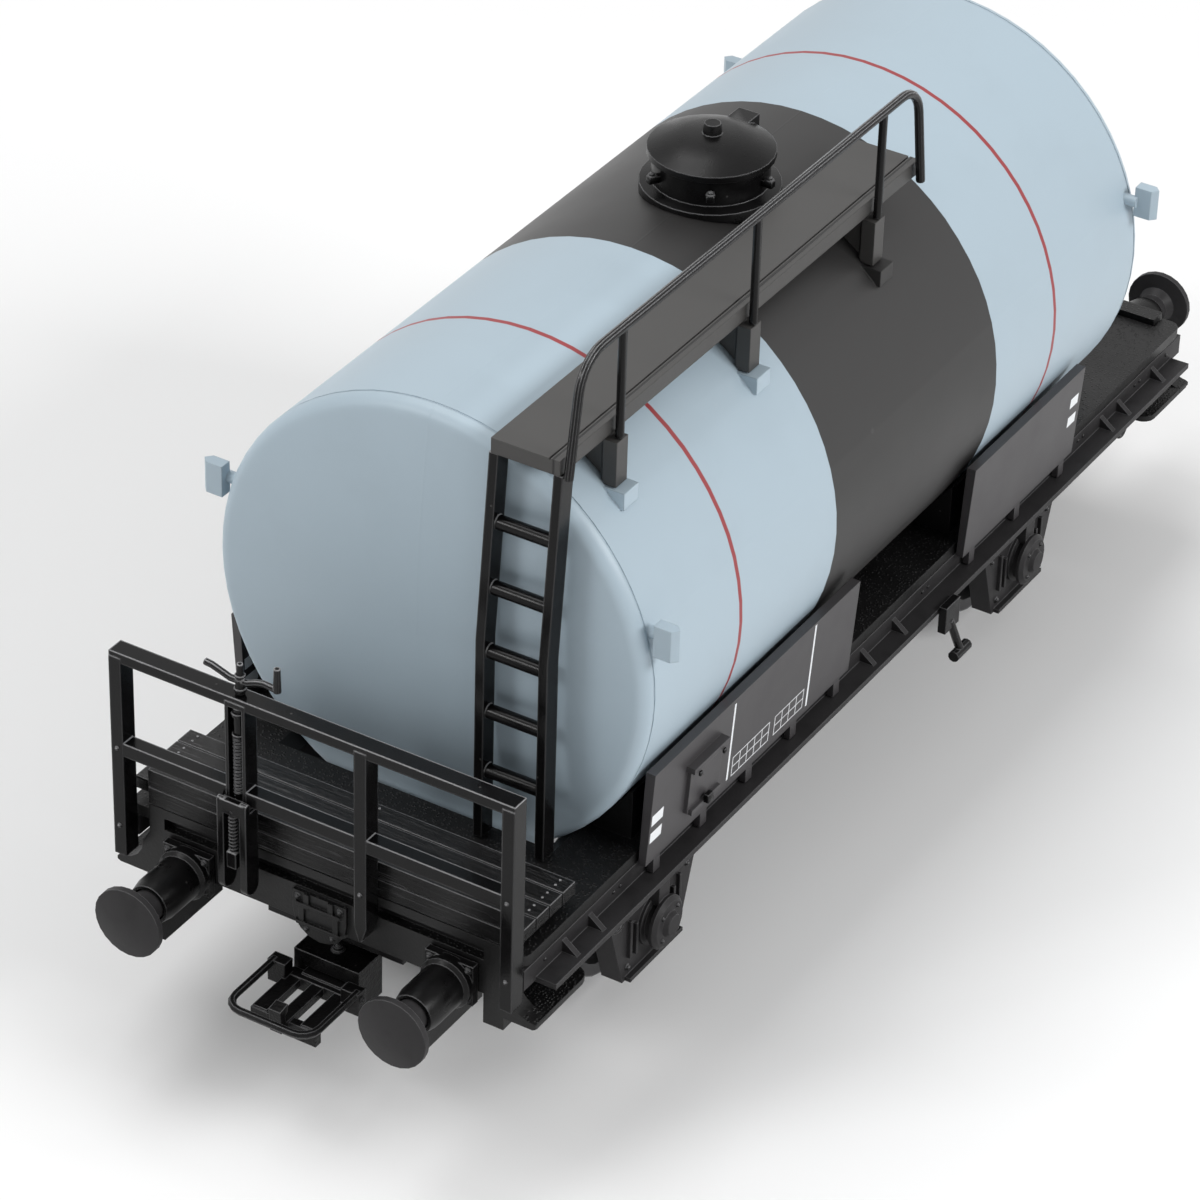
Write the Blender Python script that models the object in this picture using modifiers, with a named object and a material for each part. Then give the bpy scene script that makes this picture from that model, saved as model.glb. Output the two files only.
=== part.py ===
"""H0 scale model of a two-axle railway tank wagon with a brakeman's platform at one end.

X runs along the wagon with the platform at -X, Y across it, Z up. The wheel flanges stand on z = 0.
Left is +Y and right is -Y, seen from the platform end. All lengths are in metres.
"""

import math

import bmesh
import bpy
from mathutils import Matrix, Vector

MM = 0.001

# Fits and small steps
SEAT_GAP = 0.1 * MM          # pieces that rest on or against each other
RUNNING_GAP = 0.1 * MM       # round a turning axle or pin
LAP = 0.25 * MM              # how far fused shapes sink into each other
SEAM_WIDTH = 0.14 * MM       # groove between the tank's barrel and its ends

# Running gear
TREAD_RADIUS = 5.5 * MM
FLANGE_RADIUS = 6.5 * MM
WHEEL_WIDTH = 2.8 * MM
WHEEL_BACK_TO_BACK = 14.4 * MM
WHEELBASE = 51.7 * MM
AXLES_MIDDLE = -0.95 * MM    # the axles stand a little nearer to the platform
AXLE_RADIUS = 1.0 * MM
JOURNAL_RADIUS = 0.8 * MM
JOURNAL_END = 13.0 * MM      # half the length over the axle's ends
AXLE_HEIGHT = FLANGE_RADIUS
BRAKE_BEAM_RADIUS = 0.6 * MM
SHOE_GAP = 0.5 * MM          # from a brake shoe to the wheel's tread

# Tank
TANK_RADIUS = 16.3 * MM
TANK_SIDES = 64              # flats round the tank
TANK_CLEARANCE = 0.85 * MM   # over the centre sill
BARREL_LENGTH = 66.3 * MM
END_DEPTH = 2.2 * MM
END_RIM_RADIUS = 1.0 * MM
DOME_RADIUS = 4.0 * MM
DOME_HEIGHT = 3.95 * MM      # over the tank's top
LAMP_RISE = 4.8 * MM         # lamp brackets over the tank's axis
LAMP_STEM_RADIUS = 0.42 * MM
LAMP_STEM_SET_BACK = 0.53 * MM
LAMP_HEAD_HEIGHT = 2.3 * MM
LAMP_HEAD_DEPTH = 0.9 * MM
LAMP_HEAD_REACH = 2.3 * MM   # from the tank's skin

# Underframe
FRAME_LENGTH = 92.2 * MM     # over the headstocks
FLOOR_HALF_WIDTH = TANK_RADIUS - 1.2 * MM
FLOOR_TOP = 16.3 * MM
FLOOR_THICKNESS = 0.8 * MM
FLOOR_CORNER_RADIUS = 0.8 * MM
WEB_THICKNESS = 0.8 * MM
LEDGE_TOP = 14.1 * MM
LEDGE_THICKNESS = 0.4 * MM
LEDGE_HALF_WIDTH = FLOOR_HALF_WIDTH + 1.5 * MM
LEDGE_INNER = FLOOR_HALF_WIDTH - 2.5 * MM
FIN_THICKNESS = 0.45 * MM
FIN_REACH = 1.1 * MM
FIN_PLACES = (-41.3 * MM, -38.2 * MM, -3.0 * MM, 1.5 * MM, 33.0 * MM, 35.7 * MM, 41.3 * MM)
HEADSTOCK_THICKNESS = 1.4 * MM
HEADSTOCK_HALF_WIDTH = FLOOR_HALF_WIDTH - 1.7 * MM
HEADSTOCK_BOTTOM = 12.5 * MM
HEADSTOCK_BEAM_TOP = 15.15 * MM
HEADSTOCK_CAP_BOTTOM = 16.05 * MM
HEADSTOCK_TOP = 16.75 * MM
RECESS_HALF_WIDTH = HEADSTOCK_HALF_WIDTH - 0.95 * MM
CORNER_BLOCK_BOTTOM = 10.2 * MM
CORNER_HOLLOW = 1.95 * MM    # radius of the curve between the corner block and the step
STEP_TOP = 11.65 * MM
STEP_THICKNESS = 0.5 * MM
STEP_OUTER = HEADSTOCK_HALF_WIDTH + 2.7 * MM
STEP_LENGTH = 6.6 * MM
STEP_CORNER_RADIUS = 1.0 * MM
SILL_HALF_WIDTH = 5.2 * MM
SILL_TOP = 11.6 * MM
SILL_THICKNESS = 0.9 * MM
MEMBER_THICKNESS = 1.2 * MM
MIDDLE_MEMBER_PLACE = 6.0 * MM

# Axle guards: half widths and heights of the tapered plate
GUARD_INNER = 11.5 * MM
GUARD_THICKNESS = 1.6 * MM
GUARD_BOTTOM = 3.3 * MM
GUARD_FOOT_HALF = 3.65 * MM
GUARD_BEND_HALF = 5.3 * MM
GUARD_BEND_HEIGHT = 8.5 * MM
GUARD_TOP_HALF = 6.2 * MM
GUARD_FLANGE_DEPTH = 0.45 * MM
RELIEF = 0.3 * MM            # raised ribs and plates on other faces
AXLE_BOX_RADIUS = 1.95 * MM
SPRING_TOP = 12.75 * MM
SPRING_HALF_LENGTH = 4.9 * MM
SPRING_DEPTH = 0.6 * MM
SPRING_SAG = 0.5 * MM
LEAF_COUNT = 4
LEAF_PITCH = 0.55 * MM
LEAF_THICKNESS = 0.42 * MM
LEAF_STEP = 1.05 * MM        # how much shorter each lower leaf is at each end

# Tank rests on the floor, behind the side boards
REST_SET_BACK = 1.0 * MM     # from the board's ends
REST_INNER_Y = 9.0 * MM
REST_OUTER_Y = FLOOR_HALF_WIDTH - 1.0 * MM
REST_HEIGHT = 3.7 * MM

# Buffers
BUFFER_SPACING = 20.1 * MM
BUFFER_HEIGHT = 13.1 * MM
BUFFER_LENGTH = 7.5 * MM
BUFFER_HEAD_RADIUS = 2.5 * MM
BUFFER_BASE_HALF_WIDTH = 1.8 * MM
BUFFER_BASE_THICKNESS = 0.6 * MM
SLEEVE_RADIUS = 1.6 * MM
SLEEVE_FOOT_RADIUS = 1.85 * MM
SLEEVE_MOUTH_RADIUS = 1.42 * MM
SLEEVE_LENGTH = 4.85 * MM
PLUNGER_RADIUS = 1.1 * MM
BUFFER_WEB_THICKNESS = 0.5 * MM
BUFFER_WEB_BOTTOM = 9.5 * MM
BUFFER_WEB_REACH = 3.9 * MM  # in front of the headstock
BUFFER_WEB_ROOT = 2.9 * MM   # behind the headstock's face

# Coupling and draw-hook plate
COUPLER_PIVOT = 36.5 * MM    # from the wagon's middle
COUPLER_PIN_RADIUS = 1.1 * MM
SHANK_TOP = 9.2 * MM
SHANK_THICKNESS = 1.1 * MM
SHANK_EYE_RADIUS = 2.3 * MM
POCKET_HALF_WIDTH = 2.5 * MM
POCKET_TOP = 9.5 * MM
POCKET_BOTTOM = 6.2 * MM
POCKET_LENGTH = 2.7 * MM
POCKET_SET_BACK = 0.45 * MM  # behind the headstock's face
SLOT_TOP = 8.4 * MM
SLOT_BOTTOM = 6.9 * MM
SLOT_HALF_WIDTH = 1.6 * MM
COUPLER_ARM_WIDTH = 1.1 * MM
COUPLER_ARM_THICKNESS = 0.6 * MM
COUPLER_ARM_LENGTH = 4.2 * MM
COUPLER_HEAD_HALF_WIDTH = 2.4 * MM
HOOK_WIDTH = 0.9 * MM
BAIL_HALF_WIDTH = 3.2 * MM
BAIL_HEIGHT = 9.0 * MM
BAIL_REACH = 6.3 * MM        # in front of the headstock
BAIL_RADIUS = 0.28 * MM
HOOK_PLATE_HALF_WIDTH = 2.05 * MM
HOOK_BAR_HEIGHT = 14.1 * MM
HOOK_BAR_PITCH = 1.45 * MM
HOOK_BAR_REACH = 0.53 * MM
HOOK_BAR_THICKNESS = 0.25 * MM

# Platform end
PLANK_COUNT = 4
PLANK_WIDTH = 1.42 * MM
PLANK_GAP = 0.12 * MM
PLANK_THICKNESS = 0.95 * MM
DECK_TOP = 18.2 * MM
DECK_HALF_WIDTH = FLOOR_HALF_WIDTH - 0.35 * MM
TOE_BOARD_TOP = 19.5 * MM
TOE_BOARD_HALF_WIDTH = HEADSTOCK_HALF_WIDTH
TOE_BOARD_THICKNESS = 0.4 * MM
RAILING_TOP = 28.95 * MM
RAILING_DEPTH = 1.3 * MM
RAILING_HALF_WIDTH = FLOOR_HALF_WIDTH + 0.05 * MM
RAIL_HEIGHT = 0.75 * MM
POST_WIDTH = 0.9 * MM
POST_BOTTOM = 13.1 * MM
POINTED_POST_Y = -3.87 * MM
POINTED_POST_BOTTOM = 13.9 * MM
MID_RAIL_TOP = 22.0 * MM
MID_RAIL_HEIGHT = 1.0 * MM
BRAKE_COLUMN_Y = 5.5 * MM
COLUMN_HALF_WIDTH = 0.75 * MM
CHANNEL_HALF_WIDTH = 0.52 * MM
CHANNEL_DEPTH = 1.0 * MM
SPINDLE_SET_BACK = 0.5 * MM  # spindle behind the railing's front
SPINDLE_RADIUS = 0.33 * MM
YOKE_REACH = 0.6 * MM        # in front of the railing
YOKE_TOP = MID_RAIL_TOP - 0.6 * MM
LEG_PLACE = 0.86 * MM        # from the column's middle
LEG_THICKNESS = 0.5 * MM
LEG_BOTTOM = 14.1 * MM
CRANK_HEIGHT = 0.98 * MM     # arms over the railing
CRANK_ROD_RADIUS = 0.24 * MM
LADDER_MIDDLE_Y = -8.1 * MM
LADDER_WIDTH = 5.3 * MM
STILE_WIDTH = 0.65 * MM
STILE_DEPTH = 1.3 * MM
LADDER_FRONT = 36.95 * MM    # from the wagon's middle, below the bend
LADDER_LEAN = 1.25 * MM
LADDER_BEND_HEIGHT = 31.5 * MM
RUNG_RADIUS = 0.5 * MM
RUNG_FIRST = 21.4 * MM
RUNG_PITCH = 4.6 * MM
RUNG_COUNT = 5

# Side boards: name, start and end along X
BOARD_THICKNESS = 0.7 * MM
BOARD_BOTTOM = 15.4 * MM
BOARD_TOP = 22.8 * MM
BOARD_Y = FLOOR_HALF_WIDTH + 0.7 * MM    # outer face at the lower edge
BOARD_LEAN = 0.5 * MM
BOARDS = (("long", -32.65 * MM, -6.2 * MM), ("short", 10.15 * MM, 26.75 * MM))
BOARD_FOOT_WIDTH = 0.8 * MM
BOARD_FOOT_INSET = 1.5 * MM
BOARD_FOOT_PITCH = 7.5 * MM  # the feet are at most this far apart
CARD_HOLDER_START = -28.3 * MM
CARD_HOLDER_WIDTH = 4.0 * MM
CARD_HOLDER_HEIGHT = 3.7 * MM
CARD_HOLDER_RISE = 1.7 * MM  # over the board's lower edge

TANK_AXIS_HEIGHT = SILL_TOP + TANK_CLEARANCE + TANK_RADIUS
TANK_TOP = TANK_AXIS_HEIGHT + TANK_RADIUS
LAMP_HEIGHT = TANK_AXIS_HEIGHT + LAMP_RISE
DOME_TOP = TANK_TOP + DOME_HEIGHT

# Walkway
WALKWAY_TOP = TANK_TOP + 0.95 * MM
WALKWAY_THICKNESS = 1.1 * MM
WALKWAY_INNER_Y = -5.7 * MM
WALKWAY_OUTER_Y = -10.65 * MM
WALKWAY_START = -35.9 * MM
BRACKET_PITCH = 16.3 * MM
BRACKET_FIRST = 6.3 * MM     # from the walkway's end
BRACKET_COUNT = 3
FLANGE_HALF_WIDTH = 0.65 * MM
HANDRAIL_RADIUS = 0.32 * MM
HANDRAIL_TOP = WALKWAY_TOP + 6.5 * MM
SOCKET_TOP = WALKWAY_TOP - 4.7 * MM
SOCKET_HEIGHT = 1.3 * MM

FRAME_END = FRAME_LENGTH / 2
TANK_SEAM = BARREL_LENGTH / 2
WEB_INNER = FLOOR_HALF_WIDTH - WEB_THICKNESS
FLOOR_UNDERSIDE = FLOOR_TOP - FLOOR_THICKNESS
LEDGE_UNDERSIDE = LEDGE_TOP - LEDGE_THICKNESS
SILL_BOTTOM = SILL_TOP - SILL_THICKNESS
WALKWAY_LENGTH = 2 * BRACKET_FIRST + (BRACKET_COUNT - 1) * BRACKET_PITCH
WALKWAY_UNDERSIDE = WALKWAY_TOP - WALKWAY_THICKNESS
RAILING_BACK = FRAME_END + SEAT_GAP
RAILING_FRONT = RAILING_BACK + RAILING_DEPTH
POCKET_FRONT = FRAME_END - POCKET_SET_BACK

ENDS = (("platform_end", -1), ("plain_end", 1))
SIDES = (("left", 1), ("right", -1))

# name: (red, green, blue in linear light), roughness, metallic
FINISHES = {
    "tank_blue_grey": ((0.36, 0.45, 0.51), 0.45, 0.0),
    "black_gloss": ((0.012, 0.012, 0.013), 0.3, 0.0),
    "black_satin": ((0.02, 0.02, 0.021), 0.5, 0.0),
    "dark_planks": ((0.03, 0.028, 0.026), 0.6, 0.0),
    "board_black": ((0.025, 0.025, 0.027), 0.5, 0.0),
    "wheel_metal": ((0.11, 0.11, 0.115), 0.35, 0.8),
    "coupling_black": ((0.015, 0.015, 0.016), 0.4, 0.0),
}


def clear_scene():
    for obj in list(bpy.data.objects):
        bpy.data.objects.remove(obj)


def new_collection(name):
    collection = bpy.data.collections.new(name)
    bpy.context.scene.collection.children.link(collection)
    return collection


clear_scene()
WAGON = new_collection("tank_wagon")
SHAPES = new_collection("construction_shapes")


def finish_material(name):
    material = bpy.data.materials.get(name)
    if material is None:
        colour, roughness, metallic = FINISHES[name]
        material = bpy.data.materials.new(name)
        material.use_nodes = True
        shader = material.node_tree.nodes["Principled BSDF"]
        shader.inputs["Base Color"].default_value = (*colour, 1.0)
        shader.inputs["Roughness"].default_value = roughness
        shader.inputs["Metallic"].default_value = metallic
    return material


def shape_object(data):
    """A construction shape, which stays out of the render."""
    obj = bpy.data.objects.new("shape", data)
    SHAPES.objects.link(obj)
    obj.hide_render = True
    obj.display_type = "WIRE"
    return obj


def from_bmesh(bm):
    mesh = bpy.data.meshes.new("shape")
    bm.to_mesh(mesh)
    bm.free()
    return shape_object(mesh)


def evaluated_mesh(obj):
    """The object's mesh with its modifiers applied and its place in its points."""
    bpy.context.view_layer.update()
    graph = bpy.context.evaluated_depsgraph_get()
    mesh = bpy.data.meshes.new_from_object(obj.evaluated_get(graph))
    mesh.transform(obj.matrix_world)
    bm = bmesh.new()
    bm.from_mesh(mesh)
    bmesh.ops.remove_doubles(bm, verts=bm.verts, dist=0.0005 * MM)
    bmesh.ops.recalc_face_normals(bm, faces=bm.faces)
    bm.to_mesh(mesh)
    bm.free()
    return mesh


def realised(obj):
    mesh = evaluated_mesh(obj)
    bpy.data.objects.remove(obj)
    return shape_object(mesh)


def box(x_span, y_span, z_span):
    spans = [sorted(span) for span in (x_span, y_span, z_span)]
    middle = Vector([(low + high) / 2 for low, high in spans])
    size = [high - low for low, high in spans]
    bm = bmesh.new()
    bmesh.ops.create_cube(bm, size=1.0, matrix=Matrix.Translation(middle) @ Matrix.Diagonal((*size, 1.0)))
    return from_bmesh(bm)


def rod(start, end, radius, end_radius=None, sides=16):
    start, end = Vector(start), Vector(end)
    line = end - start
    place = Matrix.Translation((start + end) / 2) @ line.to_track_quat("Z", "Y").to_matrix().to_4x4()
    bm = bmesh.new()
    bmesh.ops.create_cone(bm, cap_ends=True, segments=sides, radius1=radius,
                          radius2=radius if end_radius is None else end_radius,
                          depth=line.length, matrix=place)
    return from_bmesh(bm)


def curve_object(points, closed, kind):
    curve = bpy.data.curves.new("path", "CURVE")
    curve.dimensions = kind
    spline = curve.splines.new("POLY")
    spline.points.add(len(points) - 1)
    for spline_point, point in zip(spline.points, points):
        spline_point.co = (*point, 1.0) if len(point) == 3 else (*point, 0.0, 1.0)
    spline.use_cyclic_u = closed
    return curve


def plate(outline, thickness, place):
    """A flat outline in the local XY plane, as thick as asked to both sides of it, put at its place."""
    curve = curve_object(outline, True, "2D")
    curve.fill_mode = "BOTH"
    curve.extrude = thickness / 2
    obj = shape_object(curve)
    obj.matrix_world = place
    return realised(obj)


def facing_side(y):
    """Local X and Y become X and Z, in the plane y."""
    return Matrix.Translation((0, y, 0)) @ Matrix.Rotation(math.pi / 2, 4, "X")


def facing_end(x):
    """Local X and Y become Y and Z, in the plane x."""
    turn = Matrix.Rotation(math.pi / 2, 4, "Z") @ Matrix.Rotation(math.pi / 2, 4, "X")
    return Matrix.Translation((x, 0, 0)) @ turn


def lying(z):
    return Matrix.Translation((0, 0, z))


def tube(points, radius, sides_step=2):
    """A round tube along points, with closed ends."""
    curve = curve_object(points, False, "3D")
    curve.bevel_depth = radius
    curve.bevel_resolution = sides_step
    curve.use_fill_caps = True
    return realised(shape_object(curve))


def arc(centre, radius, first, last, steps):
    """Points on a circle in a plane, between two angles in degrees."""
    angles = [math.radians(first + (last - first) * step / steps) for step in range(steps + 1)]
    return [(centre[0] + radius * math.cos(angle), centre[1] + radius * math.sin(angle)) for angle in angles]


def along(sign):
    """Turns a profile's own axis (Z) to +X or -X."""
    return Matrix.Rotation(sign * math.pi / 2, 4, "Y")


def across(sign):
    """Turns a profile's own axis (Z) to +Y or -Y."""
    return Matrix.Rotation(-sign * math.pi / 2, 4, "X")


def turned(profile, place, steps=32, closed=False):
    """A profile of (radius, height) points, from the top down its outer side, turned about its axis."""
    mesh = bpy.data.meshes.new("profile")
    count = len(profile)
    edges = [(point, point + 1) for point in range(count - 1)] + ([(count - 1, 0)] if closed else [])
    mesh.from_pydata([(radius, 0.0, height) for radius, height in profile], edges, [])
    obj = shape_object(mesh)
    screw = obj.modifiers.new("turn", "SCREW")
    screw.axis = "Z"
    screw.steps = steps
    screw.render_steps = steps
    screw.use_merge_vertices = True
    screw.merge_threshold = 0.001 * MM
    obj.matrix_world = place
    return realised(obj)


def as_node(name, solid, finish):
    """Makes one construction shape a piece of the wagon."""
    SHAPES.objects.unlink(solid)
    WAGON.objects.link(solid)
    solid.name = name
    solid.data.name = name
    solid.hide_render = False
    solid.display_type = "TEXTURED"
    solid.data.materials.clear()
    solid.data.materials.append(finish_material(finish))
    solid.data.shade_smooth()
    solid.data.set_sharp_from_angle(angle=math.radians(32))
    return solid


def combine(first, others, operation):
    """Joins or cuts one shape with several others at once."""
    group = bpy.data.collections.new("operands")
    bpy.context.scene.collection.children.link(group)
    for other in others:
        group.objects.link(other)
    step = first.modifiers.new(operation.lower(), "BOOLEAN")
    step.operation = operation
    step.operand_type = "COLLECTION"
    step.collection = group
    step.solver = "EXACT"
    result = realised(first)
    for other in others:
        bpy.data.objects.remove(other)
    bpy.data.collections.remove(group)
    return result


def fused(name, solids, finish, cuts=()):
    """Fuses overlapping shapes into one piece and takes the cuts out of it."""
    body = combine(solids[0], solids[1:], "UNION") if len(solids) > 1 else solids[0]
    if cuts:
        body = combine(body, list(cuts), "DIFFERENCE")
    return as_node(name, body, finish)


def tank_cylinder(clearance):
    """The room that the tank takes, with a clearance all round."""
    reach = TANK_SEAM + END_DEPTH + clearance
    ends = [Vector((sign * reach, 0, TANK_AXIS_HEIGHT)) for sign in (-1, 1)]
    return rod(ends[0], ends[1], TANK_RADIUS + clearance, sides=TANK_SIDES)


def axle_place(end_sign):
    return AXLES_MIDDLE + end_sign * WHEELBASE / 2


def make_floor():
    """Floor plate, open where the tank sinks through it, with curved rests beside the tank."""
    notch_x = FRAME_END - HEADSTOCK_THICKNESS - SEAT_GAP
    notch_y = HEADSTOCK_HALF_WIDTH + SEAT_GAP
    tip_x = FRAME_END - SEAT_GAP
    round_centre = (tip_x - FLOOR_CORNER_RADIUS, FLOOR_HALF_WIDTH - FLOOR_CORNER_RADIUS)
    corner = [(notch_x, notch_y), (tip_x, notch_y), *arc(round_centre, FLOOR_CORNER_RADIUS, 0, 90, 3)]
    outline = [*corner, *[(-x, y) for x, y in reversed(corner)],
               *[(-x, -y) for x, y in corner], *[(x, -y) for x, y in reversed(corner)]]
    pieces = [plate(outline, FLOOR_THICKNESS, lying(FLOOR_TOP - FLOOR_THICKNESS / 2))]
    for _, start, end in BOARDS:
        for _, sign in SIDES:
            pieces.append(box((start + REST_SET_BACK, end - REST_SET_BACK), (sign * REST_INNER_Y, sign * REST_OUTER_Y),
                              (FLOOR_TOP - LAP, FLOOR_TOP + REST_HEIGHT)))
    fused("floor_plate", pieces, "black_satin", [tank_cylinder(SEAT_GAP)])


def make_solebars():
    """Side members: a web under the floor's edge, a lower ledge, and fins between them."""
    web_end = FRAME_END - SEAT_GAP
    ledge_end = FRAME_END - HEADSTOCK_THICKNESS - SEAT_GAP
    web_top = FLOOR_UNDERSIDE - SEAT_GAP
    for side, sign in SIDES:
        web = box((-web_end, web_end), (sign * WEB_INNER, sign * FLOOR_HALF_WIDTH), (LEDGE_TOP - LAP, web_top))
        ledge = box((-ledge_end, ledge_end), (sign * LEDGE_INNER, sign * LEDGE_HALF_WIDTH), (LEDGE_UNDERSIDE, LEDGE_TOP))
        root = sign * (FLOOR_HALF_WIDTH - LAP)
        tip = sign * (FLOOR_HALF_WIDTH + FIN_REACH)
        outline = ((root, LEDGE_TOP - LAP), (tip, LEDGE_TOP - LAP), (tip, LEDGE_TOP), (root, web_top - LAP))
        fins = [plate(outline, FIN_THICKNESS, facing_end(x)) for x in FIN_PLACES]
        fused(f"solebar_{side}", [web, ledge, *fins], "black_satin")


def hook_plate(sign):
    """Shapes of the draw-hook plate in the middle of a headstock: round below, with two bars on four straps."""
    half = HOOK_PLATE_HALF_WIDTH
    root = sign * (FRAME_END - LAP)
    plate_top = HEADSTOCK_BEAM_TOP - 0.2 * MM
    depth = RELIEF + LAP
    outline = [(half, plate_top), (-half, plate_top), *arc((0.0, plate_top - 1.45 * MM), half, 180, 360, 8)]
    shapes = [plate(outline, depth, facing_end(root + sign * depth / 2))]
    tip = sign * (FRAME_END + HOOK_BAR_REACH)
    strap_front = sign * (FRAME_END + HOOK_BAR_REACH - 0.08 * MM)
    strap_half = 0.2 * MM
    low_bar = HOOK_BAR_HEIGHT - HOOK_BAR_PITCH
    for bar_z, strap_y, strap_top in ((HOOK_BAR_HEIGHT, 0.92 * MM, plate_top), (low_bar, 1.3 * MM, HOOK_BAR_HEIGHT)):
        bar = [(root, -half - 0.1 * MM), (tip, 0.4 * MM - half), (tip, half - 0.4 * MM), (root, half + 0.1 * MM)]
        shapes.append(plate(bar, HOOK_BAR_THICKNESS, lying(bar_z)))
        for y in (-strap_y, strap_y):
            shapes.append(box((root, strap_front), (y - strap_half, y + strap_half), (bar_z - 0.3 * MM, strap_top)))
    return shapes


def headstock_corner(sign, turn):
    """Shapes of a headstock's end block, which curves out below to a step, and of the step behind it."""
    edge = HEADSTOCK_HALF_WIDTH
    inner = RECESS_HALF_WIDTH - LAP
    tip = STEP_THICKNESS / 2
    foot = edge + 0.3 * MM
    hollow_centre = (edge + 0.55 * MM + CORNER_HOLLOW, STEP_TOP + CORNER_HOLLOW)
    outline = [(inner, HEADSTOCK_TOP), (edge, HEADSTOCK_TOP), (edge, STEP_TOP + CORNER_HOLLOW + 1.0 * MM),
               *arc(hollow_centre, CORNER_HOLLOW, 180, 262, 4), *arc((STEP_OUTER - tip, STEP_TOP - tip), tip, 90, -90, 3),
               (foot, STEP_TOP - STEP_THICKNESS), (foot, CORNER_BLOCK_BOTTOM), (inner, CORNER_BLOCK_BOTTOM)]
    block = plate([(turn * y, z) for y, z in outline], HEADSTOCK_THICKNESS,
                  facing_end(sign * (FRAME_END - HEADSTOCK_THICKNESS / 2)))
    step_outer = STEP_OUTER - 0.05 * MM
    step_end = FRAME_END - STEP_LENGTH
    round_centre = (step_end + STEP_CORNER_RADIUS, step_outer - STEP_CORNER_RADIUS)
    outline = [(FRAME_END - 0.2 * MM, edge - LAP), (step_end, edge - LAP),
               *reversed(arc(round_centre, STEP_CORNER_RADIUS, 90, 180, 4)), (FRAME_END - 0.2 * MM, step_outer)]
    step = plate([(sign * x, turn * y) for x, y in outline], STEP_THICKNESS - 0.06 * MM, lying(STEP_TOP - tip))
    return [block, step]


def make_headstocks():
    """End beams: a lower beam that carries the buffers, a recess, a cap over it, and blocks at both ends."""
    for end, sign in ENDS:
        face = sign * FRAME_END
        back = sign * (FRAME_END - HEADSTOCK_THICKNESS)
        recess = sign * (FRAME_END - HEADSTOCK_THICKNESS / 2)
        width = (-RECESS_HALF_WIDTH, RECESS_HALF_WIDTH)
        beam = box((face, back), width, (HEADSTOCK_BOTTOM, HEADSTOCK_BEAM_TOP))
        web = box((recess, back), width, (HEADSTOCK_BEAM_TOP - LAP, HEADSTOCK_CAP_BOTTOM + LAP))
        cap = box((face, back), width, (HEADSTOCK_CAP_BOTTOM, HEADSTOCK_TOP))
        corners = [shape for turn in (-1, 1) for shape in headstock_corner(sign, turn)]
        fused(f"headstock_{end}", [beam, web, cap, *corners, *hook_plate(sign)], "black_satin")


def make_centre_sill():
    """Flat sill below the tank, with cross members up to the solebars and a pin for each coupling."""
    sill_end = FRAME_END - HEADSTOCK_THICKNESS - SEAT_GAP
    pieces = [box((-sill_end, sill_end), (-SILL_HALF_WIDTH, SILL_HALF_WIDTH), (SILL_BOTTOM, SILL_TOP))]
    wheel_room = FLANGE_RADIUS + 2.6 * MM
    member_x = [axle_place(sign) + turn * wheel_room for sign in (-1, 1) for turn in (-1, 1)]
    member_x += [-MIDDLE_MEMBER_PLACE, MIDDLE_MEMBER_PLACE]
    reach = LEDGE_INNER - SEAT_GAP
    arm_bottom = LEDGE_UNDERSIDE - 1.1 * MM
    crown_half = SILL_HALF_WIDTH + 0.8 * MM
    crown = SILL_TOP + TANK_CLEARANCE - 0.3 * MM
    outline = ((-reach, arm_bottom), (-SILL_HALF_WIDTH, SILL_BOTTOM + LAP), (SILL_HALF_WIDTH, SILL_BOTTOM + LAP),
               (reach, arm_bottom), (reach, LEDGE_TOP), (crown_half, crown), (-crown_half, crown), (-reach, LEDGE_TOP))
    pieces += [plate(outline, MEMBER_THICKNESS, facing_end(x)) for x in member_x]
    pin_head_top = SHANK_TOP - SHANK_THICKNESS - SEAT_GAP
    pin_head_low = pin_head_top - 0.6 * MM
    for sign in (-1, 1):
        x = sign * COUPLER_PIVOT
        pieces.append(rod((x, 0, SILL_BOTTOM + LAP), (x, 0, pin_head_top - LAP), COUPLER_PIN_RADIUS, sides=20))
        pieces.append(rod((x, 0, pin_head_top), (x, 0, pin_head_low), COUPLER_PIN_RADIUS + 0.7 * MM,
                          COUPLER_PIN_RADIUS + 0.4 * MM, sides=20))
    fused("centre_sill", pieces, "black_satin")


def leaf_spring(axle_x, outer, sign):
    """Shapes of the leaf spring over an axle box: leaves that get shorter downwards, and their buckle."""
    middle = outer + sign * (SPRING_DEPTH - LAP) / 2
    shapes = []
    for leaf in range(LEAF_COUNT):
        half = SPRING_HALF_LENGTH - leaf * LEAF_STEP
        low = SPRING_TOP - (leaf + 1) * LEAF_PITCH
        rise = SPRING_SAG * (half / SPRING_HALF_LENGTH) ** 2
        edge = [(axle_x + half * part, low + rise * part * part) for part in (-1.0, -0.5, 0.0, 0.5, 1.0)]
        outline = edge + [(x, z + LEAF_THICKNESS) for x, z in reversed(edge)]
        shapes.append(plate(outline, SPRING_DEPTH + LAP, facing_side(middle)))
    buckle_half = 0.65 * MM
    shapes.append(box((axle_x - buckle_half, axle_x + buckle_half), (outer - sign * LAP, outer + sign * 0.85 * MM),
                      (AXLE_HEIGHT + AXLE_BOX_RADIUS - 0.4 * MM, SPRING_TOP + 0.1 * MM)))
    return shapes


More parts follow.
